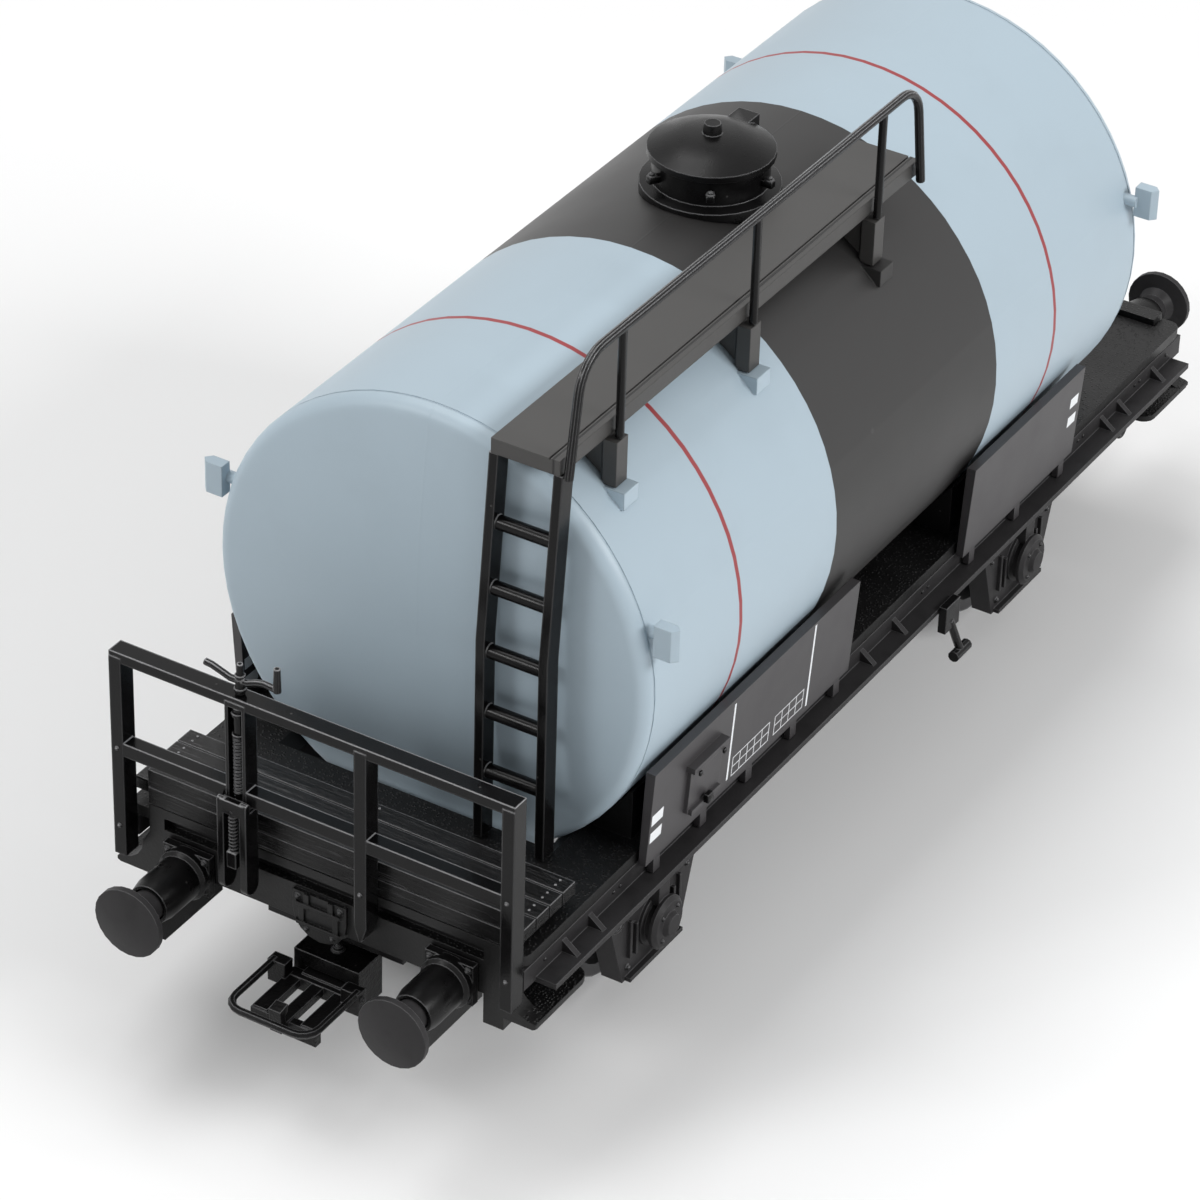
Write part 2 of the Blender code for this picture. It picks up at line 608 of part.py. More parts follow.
def guard_ribs(axle_x, outer, sign):
    """Shapes of the foot flange and of the upright ribs on both sides of an axle box."""
    foot_half = GUARD_FOOT_HALF - RELIEF
    root = outer - sign * LAP
    shapes = [box((axle_x - foot_half, axle_x + foot_half), (root, outer + sign * GUARD_FLANGE_DEPTH),
                  (GUARD_BOTTOM + 0.05 * MM, GUARD_BOTTOM + 0.35 * MM))]
    rib_half = 0.13 * MM
    for place, low, high in ((3.1 * MM, -1.3 * MM, 1.7 * MM), (2.35 * MM, -1.4 * MM, 1.1 * MM)):
        for turn in (-1, 1):
            x = axle_x + turn * place
            shapes.append(box((x - rib_half, x + rib_half), (root, outer + sign * RELIEF),
                              (AXLE_HEIGHT + low, AXLE_HEIGHT + high)))
    return shapes


def make_axle_guards():
    """W-irons: a thick tapered plate with ribs, a stepped round axle box and a leaf spring."""
    plate_top = LEDGE_UNDERSIDE - SEAT_GAP
    half_outline = ((GUARD_FOOT_HALF, GUARD_BOTTOM), (GUARD_BEND_HALF, GUARD_BEND_HEIGHT), (GUARD_TOP_HALF, plate_top))
    middle_y = GUARD_INNER + GUARD_THICKNESS / 2
    box_radius = AXLE_BOX_RADIUS
    groove = box_radius - 0.35 * MM
    box_profile = [(0.0, 1.7 * MM), (0.75 * MM, 1.7 * MM), (0.95 * MM, 1.35 * MM), (box_radius - 0.3 * MM, 1.35 * MM),
                   (box_radius, 1.1 * MM), (box_radius, 0.85 * MM), (groove, 0.75 * MM), (groove, 0.35 * MM),
                   (box_radius, 0.25 * MM), (box_radius, -LAP), (0.0, -LAP)]
    for end, end_sign in ENDS:
        axle_x = axle_place(end_sign)
        outline = [(axle_x + x, z) for x, z in half_outline] + [(axle_x - x, z) for x, z in reversed(half_outline)]
        for side, sign in SIDES:
            outer = sign * (GUARD_INNER + GUARD_THICKNESS)
            box_place = Matrix.Translation((axle_x, outer, AXLE_HEIGHT)) @ across(sign)
            pieces = [plate(outline, GUARD_THICKNESS, facing_side(sign * middle_y)), turned(box_profile, box_place, 20),
                      *guard_ribs(axle_x, outer, sign), *leaf_spring(axle_x, outer, sign)]
            bore = rod((axle_x, sign * (JOURNAL_END + RUNNING_GAP), AXLE_HEIGHT),
                       (axle_x, sign * (GUARD_INNER - GUARD_THICKNESS), AXLE_HEIGHT), JOURNAL_RADIUS + RUNNING_GAP)
            fused(f"axle_guard_{end}_{side}", pieces, "black_satin", [bore])


def make_wheelsets():
    """Two axles that turn in the guards' bearings, each with two disc wheels pressed on."""
    half_back = WHEEL_BACK_TO_BACK / 2
    bore = AXLE_RADIUS + 0.05 * MM
    width = WHEEL_WIDTH
    rim_inner = TREAD_RADIUS - 1.0 * MM
    profile = [(bore, width - 0.3 * MM), (2.0 * MM, width - 0.3 * MM), (2.3 * MM, 1.9 * MM),
               (rim_inner - 0.3 * MM, 1.9 * MM), (rim_inner, width), (TREAD_RADIUS - 0.1 * MM, width),
               (TREAD_RADIUS, 1.1 * MM), (FLANGE_RADIUS - 0.25 * MM, 0.75 * MM), (FLANGE_RADIUS, 0.4 * MM),
               (FLANGE_RADIUS - 0.35 * MM, 0.0), (rim_inner, 0.0), (rim_inner - 0.3 * MM, 0.9 * MM),
               (2.2 * MM, 0.9 * MM), (2.0 * MM, 0.0), (bore, 0.0)]
    tip = JOURNAL_END
    step = half_back + width + 0.6 * MM
    axle_profile = [(0.0, tip), (0.5 * MM, tip), (JOURNAL_RADIUS, tip - 0.5 * MM), (JOURNAL_RADIUS, step),
                    (AXLE_RADIUS, step - 0.2 * MM)]
    axle_profile += [(radius, -height) for radius, height in reversed(axle_profile)]
    for end, end_sign in ENDS:
        centre = Matrix.Translation((axle_place(end_sign), 0, AXLE_HEIGHT))
        as_node(f"axle_{end}", turned(axle_profile, centre @ across(1), 20), "wheel_metal")
        for side, sign in SIDES:
            place = centre @ across(sign) @ Matrix.Translation((0, 0, half_back))
            as_node(f"wheel_{end}_{side}", turned(profile, place, 28, closed=True), "wheel_metal")


def make_buffers():
    """A sleeve with its square base and lower web on the headstock, and a plunger with a crowned head in it."""
    head_edge = 0.45 * MM
    crown = 0.35 * MM
    crown_radius = (BUFFER_HEAD_RADIUS ** 2 + crown ** 2) / (2 * crown)
    spread = math.degrees(math.asin(BUFFER_HEAD_RADIUS / crown_radius))
    crown_points = arc((0.0, BUFFER_LENGTH - crown_radius), crown_radius, 90, 90 - spread, 3)
    bore = PLUNGER_RADIUS + SEAT_GAP
    head_back = BUFFER_LENGTH - crown - head_edge
    plunger_root = SLEEVE_LENGTH - 1.5 * MM
    head_profile = [(0.0, BUFFER_LENGTH), *crown_points[1:], (BUFFER_HEAD_RADIUS, head_back),
                    (PLUNGER_RADIUS + 0.35 * MM, head_back - 0.25 * MM), (PLUNGER_RADIUS, head_back - 0.8 * MM),
                    (PLUNGER_RADIUS, plunger_root), (0.0, plunger_root)]
    sleeve_root = 0.4 * MM
    sleeve_profile = [(0.0, plunger_root - SEAT_GAP), (bore, plunger_root - SEAT_GAP), (bore, SLEEVE_LENGTH),
                      (SLEEVE_MOUTH_RADIUS, SLEEVE_LENGTH), (SLEEVE_RADIUS, SLEEVE_LENGTH - 0.9 * MM),
                      (SLEEVE_RADIUS, 1.4 * MM), (SLEEVE_FOOT_RADIUS, 1.15 * MM), (SLEEVE_FOOT_RADIUS, sleeve_root),
                      (0.0, sleeve_root)]
    web_top = BUFFER_HEIGHT - bore - 0.2 * MM
    web_root_top = HEADSTOCK_BOTTOM - SEAT_GAP
    web_outline = ((FRAME_END - BUFFER_WEB_ROOT, web_root_top), (FRAME_END - BUFFER_WEB_ROOT, BUFFER_WEB_BOTTOM),
                   (FRAME_END + BUFFER_WEB_REACH - 0.4 * MM, BUFFER_WEB_BOTTOM),
                   (FRAME_END + BUFFER_WEB_REACH, BUFFER_WEB_BOTTOM + 0.4 * MM), (FRAME_END + BUFFER_WEB_REACH, web_top),
                   (FRAME_END + SEAT_GAP, web_top), (FRAME_END + SEAT_GAP, web_root_top))
    base_span = (BUFFER_HEIGHT - 1.35 * MM, BUFFER_HEIGHT + 1.7 * MM)
    for end, end_sign in ENDS:
        for side, sign in SIDES:
            y = sign * BUFFER_SPACING / 2
            place = Matrix.Translation((end_sign * FRAME_END, y, BUFFER_HEIGHT)) @ along(end_sign)
            base = box((end_sign * (FRAME_END + SEAT_GAP), end_sign * (FRAME_END + SEAT_GAP + BUFFER_BASE_THICKNESS)),
                       (y - BUFFER_BASE_HALF_WIDTH, y + BUFFER_BASE_HALF_WIDTH), base_span)
            sleeve = turned(sleeve_profile, place, 24)
            web = plate([(end_sign * x, z) for x, z in web_outline], BUFFER_WEB_THICKNESS, facing_side(y))
            rib_half = BUFFER_WEB_THICKNESS / 2 + RELIEF
            rib = box((end_sign * (FRAME_END + 0.4 * MM), end_sign * (FRAME_END + 2.8 * MM)), (y - rib_half, y + rib_half),
                      (web_top - 0.45 * MM, web_top - 0.15 * MM))
            fused(f"buffer_sleeve_{end}_{side}", [sleeve, base, web, rib], "black_satin")
            as_node(f"buffer_head_{end}_{side}", turned(head_profile, place, 24), "black_gloss")


def coupling_hook(tip_x, low):
    """Side outline of the middle hook: a bar whose end turns up and back."""
    root = POCKET_FRONT + 0.6 * MM
    bar_top = low + COUPLER_ARM_THICKNESS
    return ((root, low), (tip_x, low), (tip_x + 0.15 * MM, bar_top + 1.2 * MM), (tip_x - 0.75 * MM, bar_top + 1.35 * MM),
            (tip_x - 0.7 * MM, bar_top + 0.75 * MM), (tip_x - 0.4 * MM, bar_top + 0.6 * MM), (tip_x - 0.55 * MM, bar_top),
            (root, bar_top))


def make_couplings():
    """Shank and pocket that swing on a pin, with a plug-in head of two arms, a hook and a bail."""
    pocket_back = POCKET_FRONT - POCKET_LENGTH
    eye_side = SHANK_EYE_RADIUS * math.sin(math.radians(50))
    tongue_span = (SLOT_BOTTOM + SEAT_GAP, SLOT_TOP - SEAT_GAP)
    arm_low = SLOT_BOTTOM + 0.6 * MM
    arm_root = POCKET_FRONT + 0.6 * MM
    arm_end = arm_root + COUPLER_ARM_LENGTH
    head_half = COUPLER_HEAD_HALF_WIDTH
    bail_root = POCKET_FRONT + 1.1 * MM
    bail_front = FRAME_END + BAIL_REACH
    bail_corner = 1.2 * MM
    inner_y = BAIL_HALF_WIDTH - bail_corner
    for end, sign in ENDS:
        outline = [*arc((COUPLER_PIVOT, 0.0), SHANK_EYE_RADIUS, 50, 310, 12),
                   (pocket_back + LAP, -eye_side), (pocket_back + LAP, eye_side)]
        shank = plate([(sign * x, y) for x, y in outline], SHANK_THICKNESS, lying(SHANK_TOP - SHANK_THICKNESS / 2))
        pocket = box((sign * pocket_back, sign * POCKET_FRONT), (-POCKET_HALF_WIDTH, POCKET_HALF_WIDTH),
                     (POCKET_BOTTOM, POCKET_TOP))
        pin_hole = rod((sign * COUPLER_PIVOT, 0, SHANK_TOP - 2 * SHANK_THICKNESS),
                       (sign * COUPLER_PIVOT, 0, SHANK_TOP + SHANK_THICKNESS), COUPLER_PIN_RADIUS + RUNNING_GAP)
        slot = box((sign * (pocket_back + 0.5 * MM), sign * (POCKET_FRONT + LAP)), (-SLOT_HALF_WIDTH, SLOT_HALF_WIDTH),
                   (SLOT_BOTTOM, SLOT_TOP))
        fused(f"coupling_pocket_{end}", [shank, pocket], "coupling_black", [pin_hole, slot])

        tongue_half = SLOT_HALF_WIDTH - SEAT_GAP
        tongue = box((sign * (pocket_back + 0.6 * MM), sign * arm_root), (-tongue_half, tongue_half), tongue_span)
        bridge = box((sign * (POCKET_FRONT + 0.15 * MM), sign * (POCKET_FRONT + 1.0 * MM)), (-head_half, head_half),
                     (SLOT_BOTTOM + 0.3 * MM, SLOT_TOP - 0.25 * MM))
        arm_inner = head_half - COUPLER_ARM_WIDTH
        arms = [box((sign * arm_root, sign * arm_end), (turn * arm_inner, turn * head_half),
                    (arm_low, arm_low + COUPLER_ARM_THICKNESS)) for turn in (-1, 1)]
        bumper_half = head_half + 0.1 * MM
        bumper = box((sign * (arm_end - 0.5 * MM), sign * (arm_end + 0.1 * MM)), (-bumper_half, bumper_half),
                     (arm_low - 0.7 * MM, arm_low + COUPLER_ARM_THICKNESS - 0.15 * MM))
        hook_outline = [(sign * x, z) for x, z in coupling_hook(arm_end + 0.9 * MM, arm_low)]
        hook = plate(hook_outline, HOOK_WIDTH, facing_side(0))
        lug_span = (sign * (bail_root - 0.45 * MM), sign * (bail_root + 0.45 * MM))
        lugs = [box(lug_span, (turn * (head_half - LAP), turn * (BAIL_HALF_WIDTH + 0.3 * MM)),
                    (arm_low, BAIL_HEIGHT + 0.2 * MM)) for turn in (-1, 1)]
        corners = [*arc((bail_front - bail_corner, -inner_y), bail_corner, -90, 0, 4),
                   *arc((bail_front - bail_corner, inner_y), bail_corner, 0, 90, 4)]
        path = [(bail_root, -BAIL_HALF_WIDTH), *corners, (bail_root, BAIL_HALF_WIDTH)]
        bail = tube([(sign * x, y, BAIL_HEIGHT) for x, y in path], BAIL_RADIUS, 1)
        fused(f"coupling_head_{end}", [bridge, tongue, *arms, bumper, hook, *lugs, bail], "coupling_black")


def lamp_bracket(end_sign, sign):
    """Shapes of a lamp bracket: a round stem out of the tank's side and an upright head, pointed in plan."""
    skin = math.sqrt(TANK_RADIUS ** 2 - LAMP_RISE ** 2)
    stem_x = end_sign * (TANK_SEAM - LAMP_STEM_SET_BACK)
    head_x = end_sign * (TANK_SEAM - 0.1 * MM)
    inner = skin + LAMP_HEAD_REACH - 1.65 * MM
    shoulder = skin + LAMP_HEAD_REACH - 0.4 * MM
    half = LAMP_HEAD_DEPTH / 2
    stem = rod((stem_x, sign * (skin - 2 * LAP), LAMP_HEIGHT), (stem_x, sign * (inner + LAP), LAMP_HEIGHT),
               LAMP_STEM_RADIUS, sides=12)
    outline = [(head_x - half, sign * inner), (head_x + half, sign * inner), (head_x + half, sign * shoulder),
               (head_x, sign * (skin + LAMP_HEAD_REACH)), (head_x - half, sign * shoulder)]
    return [stem, plate(outline, LAMP_HEAD_HEIGHT, lying(LAMP_HEIGHT))]


def make_tank():
    """A plain barrel with four lamp brackets and three bracket sockets, and two crowned ends."""
    half = TANK_SEAM - SEAM_WIDTH / 2
    pieces = [rod((-half, 0, TANK_AXIS_HEIGHT), (half, 0, TANK_AXIS_HEIGHT), TANK_RADIUS, sides=TANK_SIDES)]
    for _, end_sign in ENDS:
        for _, sign in SIDES:
            pieces += lamp_bracket(end_sign, sign)
    socket_low = SOCKET_TOP - SOCKET_HEIGHT
    skin_y = -math.sqrt(TANK_RADIUS ** 2 - (socket_low - TANK_AXIS_HEIGHT) ** 2)
    socket_half = FLANGE_HALF_WIDTH + 0.2 * MM
    for bracket in range(BRACKET_COUNT):
        x = WALKWAY_START + BRACKET_FIRST + bracket * BRACKET_PITCH
        pieces.append(box((x - socket_half, x + socket_half), (skin_y - 0.25 * MM, skin_y + 1.6 * MM),
                          (socket_low, SOCKET_TOP - SEAT_GAP)))
    fused("tank_barrel", pieces, "tank_blue_grey")

    corner_x = TANK_RADIUS - END_RIM_RADIUS
    bulge = END_DEPTH - END_RIM_RADIUS
    crown_radius = (corner_x ** 2 + bulge ** 2) / (2 * bulge)
    spread = math.degrees(math.asin(corner_x / crown_radius))
    crown = arc((0.0, END_DEPTH - crown_radius), crown_radius, 90, 90 - spread, 4)
    rim = arc((corner_x, 0.0), END_RIM_RADIUS, 72, 0, 4)
    foot = SEAM_WIDTH / 2
    profile = [*crown, *rim[:-1], (TANK_RADIUS, foot), (0.0, foot)]
    for end, sign in ENDS:
        place = Matrix.Translation((sign * TANK_SEAM, 0, TANK_AXIS_HEIGHT)) @ along(sign)
        as_node(f"tank_{end}", turned(profile, place, TANK_SIDES), "tank_blue_grey")


def make_dome():
    """The manhole's ring and lid on top of the tank, with a hinge and a hand knob."""
    ring_top = DOME_TOP - 1.6 * MM
    skirt_radius = DOME_RADIUS + 0.8 * MM
    skirt_low = TANK_TOP - 1.2 * MM
    ring_profile = [(0.0, ring_top), (DOME_RADIUS, ring_top), (DOME_RADIUS, TANK_TOP + 0.55 * MM),
                    (skirt_radius, TANK_TOP + 0.35 * MM), (skirt_radius, skirt_low), (0.0, skirt_low)]
    fused("dome_ring", [turned(ring_profile, lying(0.0), 28)], "black_satin", [tank_cylinder(SEAT_GAP)])
    lid_foot = ring_top + SEAT_GAP
    lid_radius = DOME_RADIUS + 0.35 * MM
    lid_profile = [(0.0, DOME_TOP), (lid_radius * 0.46, DOME_TOP - 0.1 * MM), (lid_radius * 0.74, DOME_TOP - 0.5 * MM),
                   (lid_radius, lid_foot + 0.45 * MM), (lid_radius, lid_foot), (0.0, lid_foot)]
    lid = turned(lid_profile, lying(0.0), 28)
    knob_radius = 0.7 * MM
    knob = rod((0, 0, DOME_TOP - LAP), (0, 0, DOME_TOP + knob_radius), knob_radius, knob_radius * 0.8, sides=12)
    hinge_half = 0.8 * MM
    hinge = box((DOME_RADIUS - 0.6 * MM, DOME_RADIUS + 0.9 * MM), (-hinge_half, hinge_half), (lid_foot, lid_foot + 0.9 * MM))
    fused("dome_lid", [lid, knob, hinge], "black_satin")


def card_holder(sign):
    """Shapes of the card holder on a side board, which leans with the board."""
    low = BOARD_BOTTOM + CARD_HOLDER_RISE
    lean = BOARD_LEAN / (BOARD_TOP - BOARD_BOTTOM)
    y = BOARD_Y + lean * (low - BOARD_BOTTOM) - LAP
    depth = 0.3 * MM + LAP
    back = box((0, CARD_HOLDER_WIDTH), (0, sign * depth), (0, CARD_HOLDER_HEIGHT))
    roof = box((-0.2 * MM, CARD_HOLDER_WIDTH + 0.2 * MM), (0, sign * (depth + 0.35 * MM)),
               (CARD_HOLDER_HEIGHT - 0.2 * MM, CARD_HOLDER_HEIGHT + 0.2 * MM))
    sill = box((0.2 * MM, CARD_HOLDER_WIDTH - 0.2 * MM), (0, sign * (depth + 0.25 * MM)), (-0.15 * MM, 0.25 * MM))
    place = Matrix.Translation((CARD_HOLDER_START, sign * y, low)) @ Matrix.Rotation(-sign * math.atan(lean), 4, "X")
    for shape in (back, roof, sill):
        shape.data.transform(place)
    return [back, roof, sill]


def make_boards():
    """Leaning side boards on feet outside the solebars, and a card holder on each long one."""
    for board, start, end in BOARDS:
        for side, sign in SIDES:
            inner = BOARD_Y - BOARD_THICKNESS
            outline = [(sign * BOARD_Y, BOARD_BOTTOM), (sign * (BOARD_Y + BOARD_LEAN), BOARD_TOP),
                       (sign * (inner + BOARD_LEAN), BOARD_TOP), (sign * (inner + 0.15 * MM), BOARD_BOTTOM)]
            pieces = [plate(outline, end - start, facing_end((start + end) / 2))]
            run = end - start - 2 * BOARD_FOOT_INSET
            spaces = math.ceil(run / BOARD_FOOT_PITCH)
            for foot in range(spaces + 1):
                x = start + BOARD_FOOT_INSET + foot * run / spaces
                pieces.append(box((x - BOARD_FOOT_WIDTH / 2, x + BOARD_FOOT_WIDTH / 2),
                                  (sign * (inner + 0.2 * MM), sign * (BOARD_Y - 0.05 * MM)),
                                  (LEDGE_TOP + SEAT_GAP, BOARD_BOTTOM + LAP)))
            if board == "long":
                pieces += card_holder(sign)
            fused(f"side_board_{board}_{side}", pieces, "board_black")


def make_deck():
    """Cross planks on three bearers, and the toe board that closes the deck's front."""
    pitch = PLANK_WIDTH + PLANK_GAP
    front = -(FRAME_END - TOE_BOARD_THICKNESS - SEAT_GAP)
    length = PLANK_COUNT * pitch - PLANK_GAP
    width = (-DECK_HALF_WIDTH, DECK_HALF_WIDTH)
    underside = DECK_TOP - PLANK_THICKNESS
    pieces = [box((front + plank * pitch, front + plank * pitch + PLANK_WIDTH), width, (underside, DECK_TOP))
              for plank in range(PLANK_COUNT)]
    for y in (-12.0 * MM, 0.0, 12.0 * MM):
        pieces.append(box((front + 0.1 * MM, front + length - 0.1 * MM), (y - 0.6 * MM, y + 0.6 * MM),
                          (HEADSTOCK_TOP + SEAT_GAP, underside + LAP)))
    fused("deck_planks", pieces, "dark_planks")
    toe_back = -(FRAME_END - TOE_BOARD_THICKNESS)
    foot = HEADSTOCK_TOP + SEAT_GAP
    half = TOE_BOARD_HALF_WIDTH
    middle = (foot + TOE_BOARD_TOP) / 2
    boards = [box((-FRAME_END, toe_back), (-half, half), (foot, middle - 0.06 * MM)),
              box((-FRAME_END, toe_back), (-half, half), (middle + 0.06 * MM, TOE_BOARD_TOP)),
              box((-FRAME_END + 0.15 * MM, toe_back), (-half, half), (middle - 0.3 * MM, middle + 0.3 * MM))]
    fused("toe_board", boards, "dark_planks")


def make_end_railing():
    """Platform railing: top rail, mid rail, two end posts, a pointed post and the channelled brake column."""
    x_span = (-RAILING_BACK, -RAILING_FRONT)
    middle_x = -(RAILING_BACK + RAILING_FRONT) / 2
    half = RAILING_HALF_WIDTH
    post_y = half - POST_WIDTH / 2
    mid_rail_low = MID_RAIL_TOP - MID_RAIL_HEIGHT
    post_top = RAILING_TOP - RAIL_HEIGHT / 2
    pieces = [box(x_span, (-half, half), (RAILING_TOP - RAIL_HEIGHT, RAILING_TOP)),
              box((-RAILING_BACK - LAP, -RAILING_FRONT), (-post_y, post_y), (mid_rail_low, MID_RAIL_TOP))]
    for y in (post_y, -post_y):
        pieces.append(box((-RAILING_BACK, -RAILING_FRONT - 0.04 * MM), (y - POST_WIDTH / 2, y + POST_WIDTH / 2),
                          (POST_BOTTOM, post_top)))
    side = POST_WIDTH / 2
    nib = 0.1 * MM
    pointed = [(-side, post_top), (-side, POINTED_POST_BOTTOM + 1.1 * MM), (-nib, POINTED_POST_BOTTOM),
               (nib, POINTED_POST_BOTTOM), (side, POINTED_POST_BOTTOM + 1.1 * MM), (side, post_top)]
    pieces.append(plate([(POINTED_POST_Y + y, z) for y, z in pointed], RAILING_DEPTH + 0.08 * MM, facing_end(middle_x)))
    column = BRAKE_COLUMN_Y
    pieces.append(box((-RAILING_BACK, -RAILING_FRONT - 0.04 * MM), (column - COLUMN_HALF_WIDTH, column + COLUMN_HALF_WIDTH),
                      (mid_rail_low, post_top)))
    channel = box((-RAILING_FRONT + CHANNEL_DEPTH, -RAILING_FRONT - LAP),
                  (column - CHANNEL_HALF_WIDTH, column + CHANNEL_HALF_WIDTH),
                  (mid_rail_low - LAP, RAILING_TOP - RAIL_HEIGHT))
    fused("end_railing", pieces, "black_gloss", [channel])


def make_hand_brake():
    """Screw brake: spindle in the column's channel, yoke in front of it, two legs, lower rod and nut."""
    y = BRAKE_COLUMN_Y
    spindle_x = -(RAILING_FRONT - SPINDLE_SET_BACK)
    front = -(RAILING_FRONT + YOKE_REACH)
    yoke_back = -(RAILING_FRONT + SEAT_GAP)
    leg_back = spindle_x + 0.25 * MM
    top = RAILING_TOP - RAIL_HEIGHT - SEAT_GAP
    shelf_top = MID_RAIL_TOP - MID_RAIL_HEIGHT - SEAT_GAP
    shelf_low = shelf_top - 0.6 * MM
    rod_x = front + SPINDLE_RADIUS - 0.05 * MM
    head_low = top - 2.1 * MM
    nut_top = LEG_BOTTOM + 3.3 * MM
    nut_half = 0.35 * MM
    pieces = [rod((spindle_x, y, top), (spindle_x, y, head_low), 0.44 * MM, 0.4 * MM, sides=14),
              rod((spindle_x, y, head_low + LAP), (spindle_x, y, shelf_low + LAP), SPINDLE_RADIUS, sides=12),
              box((front, yoke_back), (y - LEG_PLACE, y + LEG_PLACE), (shelf_low, YOKE_TOP - 0.1 * MM)),
              box((front + LAP, leg_back - 0.1 * MM), (y - LEG_PLACE, y + LEG_PLACE), (shelf_low, shelf_top)),
              rod((rod_x, y, shelf_low + LAP), (rod_x, y, nut_top - LAP), SPINDLE_RADIUS - 0.03 * MM, sides=12),
              box((rod_x - nut_half, rod_x + nut_half), (y - nut_half, y + nut_half), (nut_top - 1.2 * MM, nut_top))]
    head_middle = (front + yoke_back) / 2
    head_half = (yoke_back - front) / 2
    foot_half = (leg_back - front) / 2
    foot_middle = (leg_back + front) / 2
    leg = [(leg_back, shelf_top - 0.3 * MM), *reversed(arc((foot_middle, LEG_BOTTOM + foot_half), foot_half, 180, 360, 6)),
           *reversed(arc((head_middle, YOKE_TOP - head_half), head_half, 0, 180, 4)), (yoke_back, shelf_top - 0.3 * MM)]
    for turn in (-1, 1):
        pieces.append(plate(leg, LEG_THICKNESS, facing_side(y + turn * LEG_PLACE)))
    fused("hand_brake_screw", pieces, "black_gloss")
    stem_x = -(RAILING_BACK + RAILING_FRONT) / 2
    foot = RAILING_TOP + SEAT_GAP
    arms_z = RAILING_TOP + CRANK_HEIGHT
    arms = [rod((stem_x, y, foot), (stem_x, y, arms_z + 0.15 * MM), 0.34 * MM, 0.3 * MM, sides=12),
            rod((stem_x, y, arms_z), (stem_x, y, arms_z + 1.3 * MM), 0.28 * MM, 0.2 * MM, sides=12)]
    sweep = ((2.65, 0.48), (2.1, 0.42), (1.4, 0.2), (0.75, -0.02), (0.0, 0.0),
             (-0.6, 0.02), (-1.2, 0.3), (-1.8, 0.46), (-2.85, 0.38))
    arms.append(tube([(stem_x, y + u * MM, arms_z + v * MM) for u, v in sweep], CRANK_ROD_RADIUS, 1))
    grip = Vector((stem_x, y - 2.8 * MM, arms_z + 0.25 * MM))
    arms.append(rod(grip, grip + Vector((0, 0, 1.75 * MM)), 0.27 * MM, 0.22 * MM, sides=10))
    fused("hand_brake_crank", arms, "black_gloss")


def make_ladder():
    """End ladder: two stiles that bend towards the tank, and round rungs."""
    foot = FLOOR_TOP + SEAT_GAP
    top = WALKWAY_UNDERSIDE - SEAT_GAP
    front, back = -LADDER_FRONT, -(LADDER_FRONT - STILE_DEPTH)
    lean = LADDER_LEAN
    bend = LADDER_BEND_HEIGHT
    outline = ((front, foot), (back, foot), (back, bend), (back + lean, top), (front + lean, top), (front, bend))
    pieces = []
    for sign in (-1, 1):
        y = LADDER_MIDDLE_Y + sign * (LADDER_WIDTH - STILE_WIDTH) / 2
        pieces.append(plate(outline, STILE_WIDTH, facing_side(y)))
    reach = LADDER_WIDTH / 2 - STILE_WIDTH + LAP
    for rung in range(RUNG_COUNT):
        z = RUNG_FIRST + rung * RUNG_PITCH
        x = (front + back) / 2 + lean * max(0.0, (z - bend) / (top - bend))
        pieces.append(rod((x, LADDER_MIDDLE_Y - reach, z), (x, LADDER_MIDDLE_Y + reach, z), RUNG_RADIUS, sides=12))
    fused("end_ladder", pieces, "black_gloss")


def make_walkway():
    """Plank along the tank's shoulder, carried by three T-shaped brackets, and its handrail."""
    end = WALKWAY_START + WALKWAY_LENGTH
    pieces = [box((WALKWAY_START, end), (WALKWAY_INNER_Y, WALKWAY_OUTER_Y), (WALKWAY_UNDERSIDE, WALKWAY_TOP))]
    flange_y = WALKWAY_OUTER_Y - 2 * HANDRAIL_RADIUS
    flange_top = WALKWAY_UNDERSIDE - 0.35 * MM
    places = [WALKWAY_START + BRACKET_FIRST + bracket * BRACKET_PITCH for bracket in range(BRACKET_COUNT)]
    for x in places:
        outer = WALKWAY_OUTER_Y + 0.2 * MM
        web = [(WALKWAY_INNER_Y - 0.6 * MM, WALKWAY_UNDERSIDE + LAP), (outer, WALKWAY_UNDERSIDE + LAP),
               (outer, SOCKET_TOP + 0.1 * MM), (WALKWAY_INNER_Y - 0.6 * MM, WALKWAY_UNDERSIDE - 3.0 * MM)]
        pieces.append(plate(web, 0.6 * MM, facing_end(x)))
        pieces.append(box((x - FLANGE_HALF_WIDTH, x + FLANGE_HALF_WIDTH), (outer + LAP, flange_y), (SOCKET_TOP, flange_top)))
    groove = box((WALKWAY_START - LAP, end + LAP), (WALKWAY_OUTER_Y + 0.65 * MM, WALKWAY_OUTER_Y + 0.78 * MM),
                 (WALKWAY_TOP - 0.12 * MM, WALKWAY_TOP + LAP))
    fused("walkway", pieces, "dark_planks", [tank_cylinder(SEAT_GAP), groove])

    y = WALKWAY_OUTER_Y - HANDRAIL_RADIUS - SEAT_GAP
    foot = flange_top + SEAT_GAP
    turn_radius = 2.6 * MM
    top = HANDRAIL_TOP
    inset = 0.35 * MM
    lean = 0.9 * MM
    left = WALKWAY_START + inset
    corner = arc((left + lean + turn_radius, top - turn_radius), turn_radius, 170, 90, 6)
    path = [(left, y, foot), *[(u, y, v) for u, v in corner]]
    middle = 2 * WALKWAY_START + WALKWAY_LENGTH
    path += [(middle - u, y, v) for u, _, v in reversed(path)]
    rail = tube(path, HANDRAIL_RADIUS, 3)
    posts = [rod((x, y, foot), (x, y, top), HANDRAIL_RADIUS * 0.9, sides=12) for x in places]
    fused("walkway_handrail", [rail, *posts], "black_gloss")


